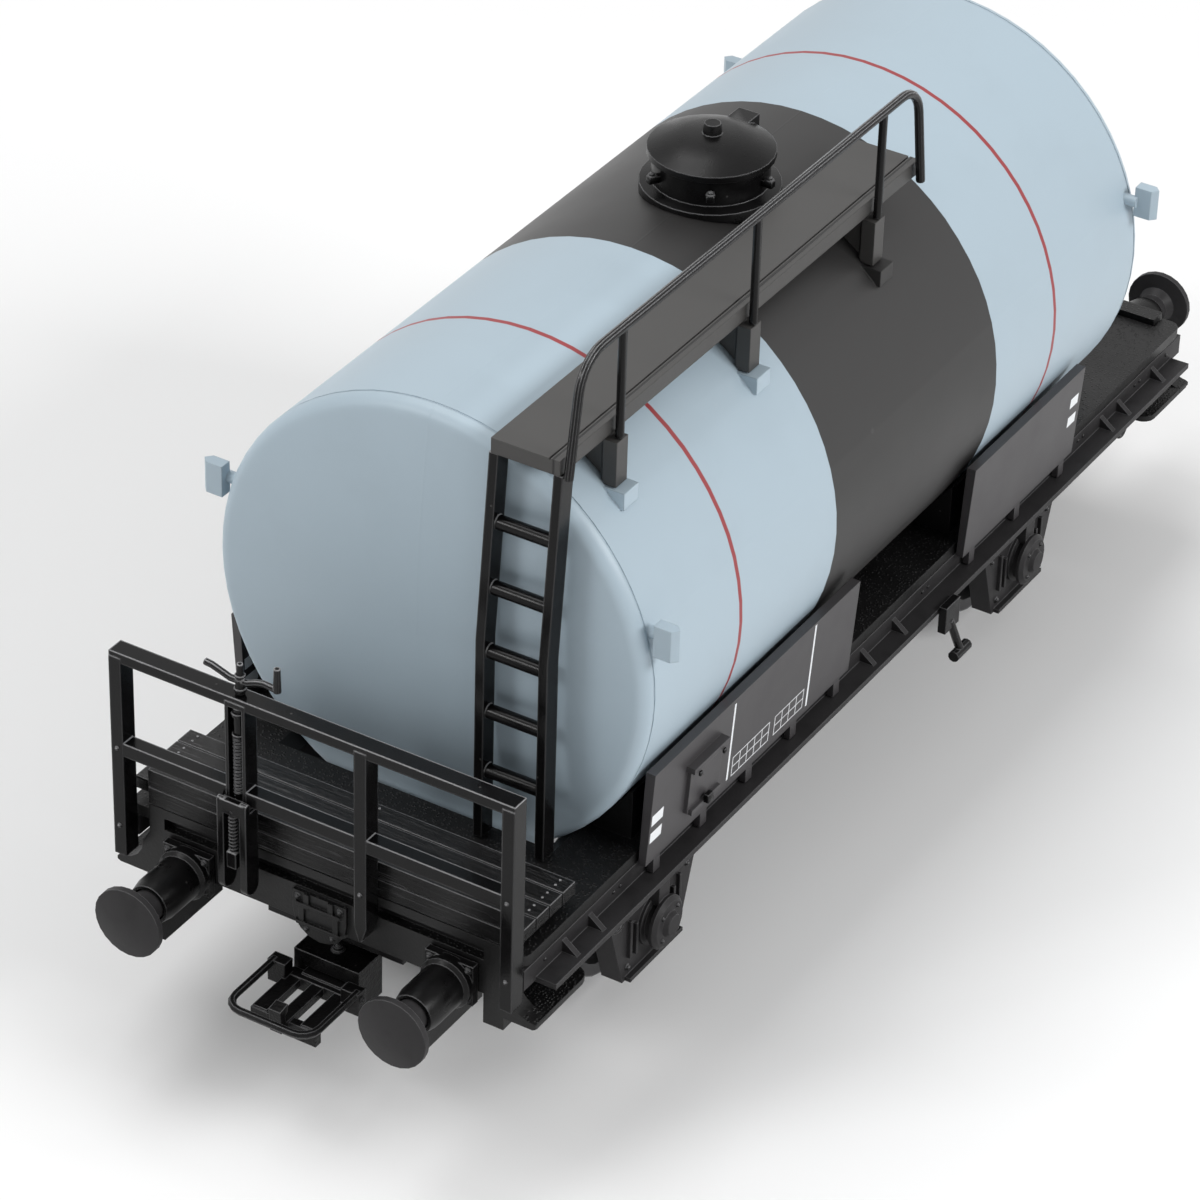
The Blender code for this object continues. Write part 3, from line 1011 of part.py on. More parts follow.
def make_brake_levers():
    """Brake changeover lever at mid wagon on each side: pivot block, arm and cross handle."""
    for side, sign in SIDES:
        x = 6.2 * MM
        y = LEDGE_HALF_WIDTH + SEAT_GAP
        block = box((x - 1.0 * MM, x + 1.0 * MM), (sign * y, sign * (y + 0.6 * MM)),
                    (LEDGE_UNDERSIDE - 1.4 * MM, LEDGE_TOP + 0.3 * MM))
        start = Vector((x, sign * (y + 0.4 * MM), LEDGE_UNDERSIDE - 0.8 * MM))
        tip = start + Vector((1.6 * MM, sign * 0.2 * MM, -3.4 * MM))
        arm = rod(start, tip, 0.3 * MM, sides=10)
        handle = rod(tip - Vector((1.0 * MM, 0, 0)), tip + Vector((1.0 * MM, 0, 0)), 0.42 * MM, sides=10)
        fused(f"brake_lever_{side}", [block, arm, handle], "black_satin")


def make_brake_beams():
    """Brake shoes on a cross beam on the inner side of each wheelset, hung from the sill."""
    for end, end_sign in ENDS:
        axle_x = axle_place(end_sign)
        inward = -end_sign
        beam_x = axle_x + inward * (FLANGE_RADIUS + SHOE_GAP + BRAKE_BEAM_RADIUS)
        shoe_back = FLANGE_RADIUS + SHOE_GAP + LAP
        beam_z = AXLE_HEIGHT
        pieces = [rod((beam_x, -9.9 * MM, beam_z), (beam_x, 9.9 * MM, beam_z), BRAKE_BEAM_RADIUS, sides=12)]
        for sign in (-1, 1):
            y = sign * (WHEEL_BACK_TO_BACK / 2 + WHEEL_WIDTH * 0.68)
            shoe = [(axle_x + inward * radius * math.cos(angle), AXLE_HEIGHT + radius * math.sin(angle))
                    for radius, angles in ((TREAD_RADIUS + SHOE_GAP, (-22, -8, 8, 22)), (shoe_back, (22, 8, -8, -22)))
                    for angle in map(math.radians, angles)]
            pieces.append(plate(shoe, 1.3 * MM, facing_side(y)))
            hanger_y = sign * (SILL_HALF_WIDTH - 0.7 * MM)
            pieces.append(box((beam_x - 0.35 * MM, beam_x + 0.35 * MM), (hanger_y - 0.35 * MM, hanger_y + 0.35 * MM),
                              (beam_z, SILL_BOTTOM - SEAT_GAP)))
        fused(f"brake_beam_{end}", pieces, "black_satin")


make_floor()
make_solebars()
make_headstocks()
make_centre_sill()
make_axle_guards()
make_wheelsets()
make_buffers()
make_couplings()
make_tank()
make_dome()
make_boards()
make_deck()
make_end_railing()
make_hand_brake()
make_ladder()
make_walkway()
make_brake_levers()
make_brake_beams()
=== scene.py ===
"""Looks of the model tank wagon: paint and moulded plastics, printed marks, small parts, and the
floor, lights and camera."""

import math

import bmesh
import bpy
from mathutils import Matrix, Vector


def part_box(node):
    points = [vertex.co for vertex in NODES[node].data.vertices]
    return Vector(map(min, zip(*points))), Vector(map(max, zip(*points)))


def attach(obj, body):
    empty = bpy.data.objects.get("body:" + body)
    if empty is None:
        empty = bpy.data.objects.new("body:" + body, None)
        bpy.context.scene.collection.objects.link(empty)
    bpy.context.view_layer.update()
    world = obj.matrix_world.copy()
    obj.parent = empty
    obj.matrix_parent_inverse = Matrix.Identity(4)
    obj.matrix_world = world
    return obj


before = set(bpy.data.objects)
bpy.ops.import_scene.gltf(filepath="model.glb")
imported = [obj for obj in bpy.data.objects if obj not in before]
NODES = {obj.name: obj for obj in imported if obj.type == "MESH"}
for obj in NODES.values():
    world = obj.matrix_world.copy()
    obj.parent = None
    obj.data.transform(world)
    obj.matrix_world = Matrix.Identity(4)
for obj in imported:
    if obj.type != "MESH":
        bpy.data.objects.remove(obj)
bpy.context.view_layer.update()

MM = 0.001
WAGON = "wagon"

# Camera: where the photograph was taken from, and how it looks along the wagon
CAMERA_PLACE = Vector((-0.2551, -0.1437, 0.2099))
CAMERA_AZIMUTH = 30.66       # degrees from +X towards +Y
CAMERA_DIP = 34.145          # degrees below the horizon
CAMERA_ROLL = 1.752          # degrees
CAMERA_LENS = 151.08         # mm
CAMERA_SENSOR = 36.0         # mm, square

# Lamps: name, place, width and height of the softbox, and power in watts
LAMPS = (
    ("key softbox", (0.06, -0.65, 0.42), (0.32, 0.22), 3.45),
    ("top softbox", (0.0, 0.28, 0.78), (0.55, 0.4), 2.95),
    ("left softbox", (-0.55, 0.36, 0.40), (0.2, 0.16), 1.35),
)
LAMP_TARGET = (0.0, 0.0, 0.03)
HORIZON_LIGHT = 0.18         # strength of the world's light from the horizon and from above
ZENITH_LIGHT = 0.46
FLOOR_HALF_SIZE = 3.0
FLOOR_NEAR = 0.10            # from the wagon's middle the floor takes shadows up to here,
FLOOR_FAR = 0.32             # and is plain white to the eye from here on

# Places read from the frame
ENDS = (("platform_end", -1), ("plain_end", 1))
SIDES = (("left", 1), ("right", -1))
FRAME_END = -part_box("toe_board")[0][0]
FLOOR_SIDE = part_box("floor_plate")[1][1]
RAILING_LOW, RAILING_HIGH = (Vector(corner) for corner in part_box("end_railing"))
DECK_LOW, DECK_HIGH = (Vector(corner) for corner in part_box("deck_planks"))
DOME_HIGH = Vector(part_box("dome_ring")[1])
AXLE_X = {end: (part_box("axle_" + end)[0][0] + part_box("axle_" + end)[1][0]) / 2 for end, _ in ENDS}

# Frame and running gear, from the wagon's middle and from the lowest point of the flanges
AXLE_HEIGHT = 6.5 * MM
TREAD_RADIUS = 5.5 * MM
BUFFER_SPACING = 20.1 * MM
BUFFER_HEIGHT = 13.1 * MM
BUFFER_BASE_FACE = FRAME_END + 0.7 * MM
HOOK_PLATE_FACE = FRAME_END + 0.3 * MM
GUARD_FACE = 13.1 * MM       # outer faces of the axle guards
AXLE_BOX_FACE = GUARD_FACE + 1.35 * MM
SPINDLE_X = -47.1 * MM
SPINDLE_Y = 5.5 * MM
SPINDLE_ROD_X = -47.8 * MM
CRANK_X = -46.85 * MM
WALKWAY_GROOVE_Y = -10.2 * MM

# Tank and its livery
TANK_AXIS_Z = 28.75 * MM
TANK_RADIUS = 16.3 * MM
TANK_SEAM_X = 33.15 * MM     # where the barrel meets its ends
BAND_CENTRE = 1.05 * MM
BAND_HALF_WIDTH = 11.15 * MM
RED_LINES = (-22.5 * MM, 20.9 * MM)
RED_LINE_HALF_WIDTH = 0.19 * MM
PAINT_BLUR = 0.03 * MM       # softness of the edges between two paints

# Colours in linear light
NO_LIGHT = (0.0, 0.0, 0.0)
TANK_PAINT = (0.385, 0.475, 0.54)
BAND_PAINT = (0.017, 0.0163, 0.0162)
RED_PAINT = (0.29, 0.035, 0.040)
PLASTIC_BLACK = (0.0045, 0.0043, 0.0045)
# pale grey of a highlight painted along upper edges, and of the planks' scuffs
SCUFF_AND_PAINTED_HIGHLIGHT = (0.40, 0.40, 0.41)
WALKWAY_BLACK = (0.040, 0.0385, 0.037)
# painted shade in the walkway's groove
PAINTED_GROOVE_SHADE = (0.004, 0.004, 0.004)
BOARD_GREY = (0.042, 0.0395, 0.042)
PRINT_WHITE = (0.80, 0.82, 0.84)
FRAME_BLACK = (0.026, 0.025, 0.026)
STEEL_DARK = (0.06, 0.06, 0.063)
STEEL_BRIGHT = (0.45, 0.45, 0.46)
DUST_ON_PAINT = (0.6, 0.6, 0.6)
DUST_ON_PLASTIC = (0.45, 0.44, 0.43)
DUST_ON_FLOOR = (0.4, 0.39, 0.38)
FLOOR_WHITE = (0.88, 0.88, 0.88)
PURE_WHITE = (1.0, 1.0, 1.0)

# Printed marks on the side boards: centre x and z, half width and half height, in mm
LONG_BOARD_MARKS = (
    (-22.55, 19.27, 0.11, 3.14),
    (-12.1, 19.25, 0.11, 3.35),
    (-31.75, 18.95, 0.7, 0.42),
    (-31.75, 17.55, 0.7, 0.42),
)
SHORT_BOARD_MARKS = (
    (25.7, 20.4, 0.6, 0.42),
    (25.7, 18.8, 0.6, 0.42),
)
# Empty printed tables: low x and z, column width and row height in mm, counts of columns and rows
LONG_BOARD_TABLES = (
    (-22.0, 16.15, 0.95, 0.75, 5, 2),
    (-16.5, 16.15, 0.95, 0.75, 4, 2),
)
TABLE_LINE_HALF_WIDTH = 0.045 * MM
TABLE_INK = 0.8              # a table's lines are printed thinner than the marks

# Small parts, in mm
SPINDLE_COLLARS = (          # height of the middle, radius and thickness
    (SPINDLE_X, 27.6, 0.47, 0.3),
    (SPINDLE_X, 26.0, 0.45, 0.25),
    (CRANK_X, 29.35, 0.42, 0.25),
    (CRANK_X, 30.35, 0.36, 0.2),
)
HOOK_PLATE_BOLTS = ((1.62, 14.55, 0.19), (1.0, 12.15, 0.16))     # y, z and head radius
GUARD_BOLTS = (              # x from the axle, z and head radius
    (-3.1, 4.3, 0.2), (3.1, 4.3, 0.2), (-4.3, 8.2, 0.17), (4.3, 8.2, 0.17),
    (-5.2, 12.6, 0.2), (5.2, 12.6, 0.2), (-5.0, 10.6, 0.2), (5.0, 10.6, 0.2),
)
SOLEBAR_RIVETS_X = (-43.6, -35.4, -34.6, -9.4, -8.6, 5.6, 6.4, 29.2, 30.0, 38.4, 39.2, 43.6)
CARD_LATCHES = ((0.0, 17.45, 1.0), (-1.5, 20.3, 0.5), (1.5, 20.3, 0.5))      # x, z and size
DECK_NAILS_Y = (-13.9, -0.3, 13.9)


# Node trees

def connect(tree, socket, value):
    """Links another socket to an input, or sets a number, vector or colour on it."""
    if isinstance(value, bpy.types.NodeSocket):
        tree.links.new(value, socket)
    elif socket.type == "RGBA":
        socket.default_value = (*value, 1.0)
    else:
        socket.default_value = value


def add(tree, kind, settings=None, **inputs):
    """Adds a shader node. Inputs go by name, with _ for a space, or by number, as in i0."""
    node = tree.nodes.new("ShaderNode" + kind)
    for key, value in (settings or {}).items():
        setattr(node, key, value)
    for key, value in inputs.items():
        numbered = key[0] == "i" and key[1:].isdigit()
        connect(tree, node.inputs[int(key[1:]) if numbered else key.replace("_", " ")], value)
    return node


def maths(tree, operation, first, second=0.0, third=0.0):
    node = add(tree, "Math", {"operation": operation}, i0=first, i1=second, i2=third)
    return node.outputs[0]


def product(tree, first, *others):
    for other in others:
        first = maths(tree, "MULTIPLY", first, other)
    return first


def strongest(tree, first, *others):
    """Joins masks: the highest of their values."""
    for other in others:
        first = maths(tree, "MAXIMUM", first, other)
    return first


def away_from(tree, value, centre):
    """How far a value is from a centre, to either side."""
    return maths(tree, "ABSOLUTE", maths(tree, "SUBTRACT", value, centre))


def hypotenuse(tree, first, second):
    squares = maths(tree, "ADD", product(tree, first, first), product(tree, second, second))
    return maths(tree, "SQRT", squares)


def ramp(tree, value, low, high, to_low=0.0, to_high=1.0):
    """Maps the range from low to high onto another one, and stays at its ends beyond them."""
    node = add(tree, "MapRange", {"clamp": True}, Value=value, From_Min=low, From_Max=high,
               To_Min=to_low, To_Max=to_high)
    return node.outputs["Result"]


def axis_of(tree, vector, axis):
    return add(tree, "SeparateXYZ", Vector=vector).outputs[axis]


def face_normal(tree):
    return add(tree, "NewGeometry").outputs["Normal"]


def blend_colours(tree, factor, under, over):
    return add(tree, "Mix", {"data_type": "RGBA"}, i0=factor, i6=under, i7=over).outputs[2]


def new_group(name, inputs, outputs):
    """A shader node group with named sockets. Returns it with its input and output nodes."""
    group = bpy.data.node_groups.new(name, "ShaderNodeTree")
    for label, kind, default in inputs:
        socket = group.interface.new_socket(label, in_out="INPUT", socket_type=kind)
        if default is not None:
            socket.default_value = default
    for label, kind in outputs:
        group.interface.new_socket(label, in_out="OUTPUT", socket_type=kind)
    return group, group.nodes.new("NodeGroupInput").outputs, group.nodes.new("NodeGroupOutput").inputs


def use_group(tree, group, **inputs):
    """Adds a group to a tree and returns its outputs."""
    node = tree.nodes.new("ShaderNodeGroup")
    node.node_tree = group
    for key, value in inputs.items():
        connect(tree, node.inputs[key.replace("_", " ")], value)
    return node.outputs


def make_mould_skin():
    """Skin of a moulding: a fine grain to stand on, a soft mottle, and sparse specks of dust."""
    group, given, out = new_group(
        "mould skin",
        [("Place", "NodeSocketVector", None),
         ("Grain Size", "NodeSocketFloat", 0.1 * MM),
         ("Mottle Size", "NodeSocketFloat", 3.0 * MM),
         ("Speck Size", "NodeSocketFloat", 0.5 * MM)],
        [("Grain", "NodeSocketFloat"), ("Mottle", "NodeSocketFloat"), ("Specks", "NodeSocketFloat")])
    place = given["Place"]
    scale = {size: maths(group, "DIVIDE", 1.0, given[size + " Size"])
             for size in ("Grain", "Mottle", "Speck")}
    grain = add(group, "TexNoise", Vector=place, Scale=scale["Grain"], Detail=2.0, Roughness=0.6)
    mottle = add(group, "TexNoise", Vector=place, Scale=scale["Mottle"], Detail=3.0, Roughness=0.5)
    cells = add(group, "TexVoronoi", {"feature": "F1"}, Vector=place, Scale=scale["Speck"])
    chance = add(group, "SeparateColor", Color=cells.outputs["Color"]).outputs[0]
    rare = maths(group, "GREATER_THAN", chance, 0.93)
    spot = ramp(group, cells.outputs["Distance"], 0.05, 0.12, 1.0, 0.0)
    group.links.new(grain.outputs["Fac"], out["Grain"])
    group.links.new(mottle.outputs["Fac"], out["Mottle"])
    group.links.new(product(group, rare, spot), out["Specks"])
    return group


def make_wood_grain():
    """Moulded wood grain: long uneven lines. Stretch counts the lines in a metre on each axis."""
    group, given, out = new_group(
        "moulded wood grain",
        [("Place", "NodeSocketVector", None), ("Stretch", "NodeSocketVector", (1.0, 1.0, 1.0))],
        [("Lines", "NodeSocketFloat"), ("Tone", "NodeSocketFloat")])
    scaled = add(group, "VectorMath", {"operation": "MULTIPLY"}, i0=given["Place"],
                 i1=given["Stretch"]).outputs[0]
    bend = add(group, "TexNoise", Vector=scaled, Scale=0.35, Detail=1.0)
    lines = add(group, "TexNoise", Vector=scaled, Scale=1.0, Detail=4.0, Roughness=0.7, Distortion=0.4)
    tone = add(group, "TexNoise", Vector=scaled, Scale=0.3, Detail=2.0)
    bent = maths(group, "MULTIPLY_ADD", bend.outputs["Fac"], 0.4, lines.outputs["Fac"])
    group.links.new(bent, out["Lines"])
    group.links.new(tone.outputs["Fac"], out["Tone"])
    return group


def make_printed_box():
    """Mask of a printed rectangle in the XZ plane."""
    group, given, out = new_group(
        "printed box",
        [("Place", "NodeSocketVector", None),
         ("Centre X", "NodeSocketFloat", 0.0), ("Centre Z", "NodeSocketFloat", 0.0),
         ("Half X", "NodeSocketFloat", 1 * MM), ("Half Z", "NodeSocketFloat", 1 * MM)],
        [("Mask", "NodeSocketFloat")])
    depths = []
    for axis in "XZ":
        off_centre = away_from(group, axis_of(group, given["Place"], axis), given["Centre " + axis])
        depths.append(maths(group, "SUBTRACT", given["Half " + axis], off_centre))
    depth = maths(group, "MINIMUM", *depths)
    group.links.new(maths(group, "GREATER_THAN", depth, 0.0), out["Mask"])
    return group


def make_printed_table():
    """Mask of the ruled lines of a printed table in the XZ plane, with equal columns and rows."""
    group, given, out = new_group(
        "printed table",
        [("Place", "NodeSocketVector", None),
         ("Low X", "NodeSocketFloat", 0.0), ("Low Z", "NodeSocketFloat", 0.0),
         ("Column X", "NodeSocketFloat", 1 * MM), ("Column Z", "NodeSocketFloat", 1 * MM),
         ("Count X", "NodeSocketFloat", 1.0), ("Count Z", "NodeSocketFloat", 1.0),
         ("Line", "NodeSocketFloat", 0.1 * MM)],
        [("Mask", "NodeSocketFloat")])
    line = given["Line"]
    on_line = []
    inside = []
    for axis in "XZ":
        cell = given["Column " + axis]
        offset = maths(group, "SUBTRACT", axis_of(group, given["Place"], axis), given["Low " + axis])
        cells = maths(group, "DIVIDE", offset, cell)
        off_line = away_from(group, cells, maths(group, "ROUND", cells))
        on_line.append(maths(group, "LESS_THAN", product(group, off_line, cell), line))
        margin = maths(group, "DIVIDE", line, cell)
        above = maths(group, "GREATER_THAN", maths(group, "ADD", cells, margin), 0.0)
        last = maths(group, "SUBTRACT", cells, margin)
        below = maths(group, "LESS_THAN", last, given["Count " + axis])
        inside.append(product(group, above, below))
    group.links.new(product(group, strongest(group, *on_line), *inside), out["Mask"])
    return group


MOULD_SKIN = make_mould_skin()
WOOD_GRAIN = make_wood_grain()
PRINTED_BOX = make_printed_box()
PRINTED_TABLE = make_printed_table()


# Materials

def new_material(name):
    """A material with its tree, its shader and the object's own coordinates."""
    material = bpy.data.materials.new(name)
    material.use_nodes = True
    tree = material.node_tree
    place = add(tree, "TexCoord").outputs["Object"]
    return material, tree, tree.nodes["Principled BSDF"], place


def mould_skin(tree, place, grain, mottle, speck):
    """The mould skin's outputs, with the sizes of its three textures in mm."""
    return use_group(tree, MOULD_SKIN, Place=place, Grain_Size=grain * MM, Mottle_Size=mottle * MM,
                     Speck_Size=speck * MM)


def mottled(tree, skin, low, high):
    """A value that varies softly over a moulding."""
    return ramp(tree, skin["Mottle"], 0.25, 0.75, low, high)


def shaded(tree, shade, colour):
    """A colour, darker where the shade is under 1."""
    return blend_colours(tree, shade, NO_LIGHT, colour)


def dusted(tree, skin, strength, colour, dust):
    return blend_colours(tree, product(tree, skin["Specks"], strength), colour, dust)


def round_edges(tree, radius):
    """The normal of a surface whose sharp edges are a little rounded."""
    return add(tree, "Bevel", {"samples": 6}, Radius=radius).outputs["Normal"]


def painted_edge_highlight(tree, rounded, strength):
    """How far a highlight painted along a moulding's rounded edges covers a place; upper edges get
    more of it.
    """
    alike = add(tree, "VectorMath", {"operation": "DOT_PRODUCT"}, i0=rounded, i1=face_normal(tree))
    edge = ramp(tree, alike.outputs["Value"], 0.92, 0.995, 1.0, 0.0)
    upward = ramp(tree, axis_of(tree, rounded, "Z"), 0.05, 0.6, 0.12, 1.0)
    return product(tree, edge, upward, strength)


def bump(tree, shader, height, distance, strength, under):
    node = add(tree, "Bump", Strength=strength, Distance=distance, Height=height, Normal=under)
    tree.links.new(node.outputs["Normal"], shader.inputs["Normal"])


def tank_material():
    """Blue-grey satin paint with a broad black band and two thin red lines round the barrel."""
    material, tree, shader, place = new_material("tank paint")
    skin = mould_skin(tree, place, grain=0.09, mottle=6, speck=2.2)
    wobble = ramp(tree, skin["Mottle"], 0.3, 0.7, -PAINT_BLUR, PAINT_BLUR)
    along = maths(tree, "ADD", axis_of(tree, place, "X"), wobble)
    band = ramp(tree, away_from(tree, along, BAND_CENTRE), BAND_HALF_WIDTH,
                BAND_HALF_WIDTH + 0.05 * MM, 1.0, 0.0)
    red = strongest(tree, *(ramp(tree, away_from(tree, along, x), RED_LINE_HALF_WIDTH - PAINT_BLUR,
                                 RED_LINE_HALF_WIDTH + PAINT_BLUR, 1.0, 0.0) for x in RED_LINES))
    paint = shaded(tree, ramp(tree, skin["Mottle"], 0.2, 0.8, 0.965, 1.03), TANK_PAINT)
    paint = blend_colours(tree, band, paint, BAND_PAINT)
    paint = blend_colours(tree, red, paint, RED_PAINT)
    connect(tree, shader.inputs["Base Color"], dusted(tree, skin, 0.03, paint, DUST_ON_PAINT))
    rough = ramp(tree, band, 0.0, 1.0, 0.42, 0.44)
    uneven = ramp(tree, skin["Mottle"], 0.2, 0.8, -0.03, 0.04)
    connect(tree, shader.inputs["Roughness"], maths(tree, "ADD", rough, uneven))
    shader.inputs["Specular IOR Level"].default_value = 0.45
    off_top = maths(tree, "ABSOLUTE", axis_of(tree, place, "Y"))
    mould_line = ramp(tree, off_top, 0.03 * MM, 0.09 * MM, 0.9, 0.0)
    upper = maths(tree, "GREATER_THAN", axis_of(tree, place, "Z"), TANK_AXIS_Z)
    height = maths(tree, "MULTIPLY_ADD", mould_line, upper, product(tree, skin["Grain"], 0.35))
    bump(tree, shader, height, 0.012 * MM, 0.6, round_edges(tree, 0.12 * MM))
    return material


def black_plastic(name, roughness, grain, depth, edge, painted_highlight, dust=0.10, colour=PLASTIC_BLACK):
    """Black moulded plastic with its own gloss, and a highlight painted along its rounded edges, most
    on the upper ones.
    Grain is the size and depth the height of its texture, and edge is the radius of its edges, in mm."""
    material, tree, shader, place = new_material(name)
    skin = mould_skin(tree, place, grain, mottle=1.6, speck=0.9)
    body = shaded(tree, mottled(tree, skin, 0.75, 1.3), colour)
    body = dusted(tree, skin, dust, body, DUST_ON_PLASTIC)
    rounded = round_edges(tree, edge * MM)
    # paints a highlight along the rounded edges, strongest on the upper ones
    body = blend_colours(tree, painted_edge_highlight(tree, rounded, painted_highlight), body, SCUFF_AND_PAINTED_HIGHLIGHT)
    connect(tree, shader.inputs["Base Color"], body)
    uneven = mottled(tree, skin, roughness - 0.07, roughness + 0.08)
    connect(tree, shader.inputs["Roughness"], uneven)
    shader.inputs["Specular IOR Level"].default_value = 0.16
    bump(tree, shader, skin["Grain"], depth * MM, 0.8, rounded)
    return material


def studded_plastic():
    """Black plastic with the fine raised studs of an anti-slip floor on its level faces, and painted
    shade between the studs.
    """
    stud_pitch = 0.24 * MM
    material, tree, shader, place = new_material("anti-slip black floor")
    skin = mould_skin(tree, place, grain=0.2, mottle=3, speck=0.7)
    cells = add(tree, "TexVoronoi", {"feature": "F1"}, Vector=place, Scale=1 / stud_pitch,
                Randomness=0.75)
    stud = ramp(tree, cells.outputs["Distance"], 0.15, 0.42, 1.0, 0.0)
    level = maths(tree, "GREATER_THAN", axis_of(tree, face_normal(tree), "Z"), 0.9)
    stud = product(tree, stud, level)
    # painted shade: the ground between the studs is darker than their tops
    body = shaded(tree, ramp(tree, stud, 0.0, 1.0, 0.7, 1.9), PLASTIC_BLACK)
    connect(tree, shader.inputs["Base Color"], dusted(tree, skin, 0.2, body, DUST_ON_FLOOR))
    connect(tree, shader.inputs["Roughness"], mottled(tree, skin, 0.38, 0.52))
    shader.inputs["Specular IOR Level"].default_value = 0.3
    height = maths(tree, "MULTIPLY_ADD", stud, 1.2, product(tree, skin["Grain"], 0.4))
    bump(tree, shader, height, 0.05 * MM, 0.9, round_edges(tree, 0.07 * MM))
    return material


def plank_material():
    """Glossy black plastic moulded as planks, with grain and cracks that run across the wagon,
    pale scuffs and a highlight painted along their edges.
    """
    across = 1 / (0.17 * MM)
    along = 1 / (4.0 * MM)
    material, tree, shader, place = new_material("cross plank moulding")
    wood = use_group(tree, WOOD_GRAIN, Place=place, Stretch=(across, along, across))
    body = shaded(tree, ramp(tree, wood["Tone"], 0.3, 0.7, 0.7, 1.5), PLASTIC_BLACK)
    scuffed = ramp(tree, wood["Lines"], 0.80, 0.98, 0.0, 0.2)
    body = blend_colours(tree, scuffed, body, SCUFF_AND_PAINTED_HIGHLIGHT)
    rounded = round_edges(tree, 0.13 * MM)
    # paints a highlight along the planks' rounded edges
    body = blend_colours(tree, painted_edge_highlight(tree, rounded, 0.55), body, SCUFF_AND_PAINTED_HIGHLIGHT)
    connect(tree, shader.inputs["Base Color"], body)
    connect(tree, shader.inputs["Roughness"], ramp(tree, wood["Lines"], 0.4, 0.9, 0.30, 0.18))
    shader.inputs["Specular IOR Level"].default_value = 0.18
    bump(tree, shader, wood["Lines"], 0.07 * MM, 0.8, rounded)
    return material


def walkway_material():
    """Smooth matt black plank with a thin groove along its outer edge, bumped in, with painted shade
    in it.
    """
    material, tree, shader, place = new_material("walkway plank moulding")
    skin = mould_skin(tree, place, grain=0.1, mottle=5, speck=1.5)
    off_groove = away_from(tree, axis_of(tree, place, "Y"), WALKWAY_GROOVE_Y)
    groove = ramp(tree, off_groove, 0.04 * MM, 0.11 * MM, 1.0, 0.0)
    body = shaded(tree, mottled(tree, skin, 0.9, 1.1), WALKWAY_BLACK)
    # paints shade into the groove along the outer edge
    connect(tree, shader.inputs["Base Color"], blend_colours(tree, groove, body, PAINTED_GROOVE_SHADE))
    connect(tree, shader.inputs["Roughness"], mottled(tree, skin, 0.42, 0.5))
    height = maths(tree, "MULTIPLY_ADD", groove, -1.0, product(tree, skin["Grain"], 0.15))
    bump(tree, shader, height, 0.06 * MM, 0.8, round_edges(tree, 0.1 * MM))
    return material


def board_material(name, marks, tables):
    """Satin black board with plain white printed lines and marks."""
    material, tree, shader, place = new_material(name)
    skin = mould_skin(tree, place, grain=0.08, mottle=4, speck=1.5)
    masks = []
    for x, z, half_x, half_z in marks:
        box = use_group(tree, PRINTED_BOX, Place=place, Centre_X=x * MM, Centre_Z=z * MM,
                        Half_X=half_x * MM, Half_Z=half_z * MM)
        masks.append(box["Mask"])
    for x, z, column, row, columns, rows in tables:
        table = use_group(tree, PRINTED_TABLE, Place=place, Low_X=x * MM, Low_Z=z * MM,
                          Column_X=column * MM, Column_Z=row * MM, Count_X=columns, Count_Z=rows,
                          Line=TABLE_LINE_HALF_WIDTH)
        masks.append(product(tree, table["Mask"], TABLE_INK))
    sideways = maths(tree, "ABSOLUTE", axis_of(tree, face_normal(tree), "Y"))
    on_face = maths(tree, "GREATER_THAN", sideways, 0.7)
    worn = ramp(tree, skin["Grain"], 0.25, 0.4, 0.8, 1.0)
    printed = product(tree, strongest(tree, *masks), on_face, worn)
    body = shaded(tree, mottled(tree, skin, 0.9, 1.1), BOARD_GREY)
    connect(tree, shader.inputs["Base Color"], blend_colours(tree, printed, body, PRINT_WHITE))
    connect(tree, shader.inputs["Roughness"], mottled(tree, skin, 0.40, 0.5))
    height = maths(tree, "MULTIPLY_ADD", skin["Grain"], 0.4, printed)
    bump(tree, shader, height, 0.01 * MM, 0.6, round_edges(tree, 0.06 * MM))
    return material


def wheel_material(end):
    """Blackened steel, bright where the tread and flange run on the rail."""
    material, tree, shader, place = new_material(f"wheel_steel_{end}")
    skin = mould_skin(tree, place, grain=0.12, mottle=1.5, speck=1)
    ahead = maths(tree, "SUBTRACT", axis_of(tree, place, "X"), AXLE_X[end])
    up = maths(tree, "SUBTRACT", axis_of(tree, place, "Z"), AXLE_HEIGHT)
    radius = hypotenuse(tree, ahead, up)
    tread = ramp(tree, radius, TREAD_RADIUS - 0.25 * MM, TREAD_RADIUS - 0.05 * MM)
    rings = add(tree, "TexNoise", {"noise_dimensions": "1D"}, W=radius, Scale=1 / (0.1 * MM),
                Detail=1.0)
    steel = blend_colours(tree, tread, STEEL_DARK, STEEL_BRIGHT)
    connect(tree, shader.inputs["Base Color"], steel)
    connect(tree, shader.inputs["Metallic"], ramp(tree, tread, 0.0, 1.0, 0.55, 1.0))
    connect(tree, shader.inputs["Roughness"], mottled(tree, skin, 0.3, 0.42))
    height = maths(tree, "ADD", rings.outputs["Fac"], product(tree, skin["Grain"], 0.4))
    bump(tree, shader, height, 0.01 * MM, 0.5, round_edges(tree, 0.06 * MM))
    return material


def named(*starts):
    return sorted(name for name in NODES if name.startswith(starts))


def dress(names, material):
    """Gives CAD nodes their material, smooth round faces and crisp edges."""
    for name in names:
        node = NODES[name]
        node.data.materials.clear()
        node.data.materials.append(material)
        node.data.shade_smooth()
        weld = node.modifiers.new("weld", "WELD")
        weld.merge_threshold = 0.0005 * MM
        split = node.modifiers.new("crisp edges", "EDGE_SPLIT")
        split.split_angle = math.radians(32)


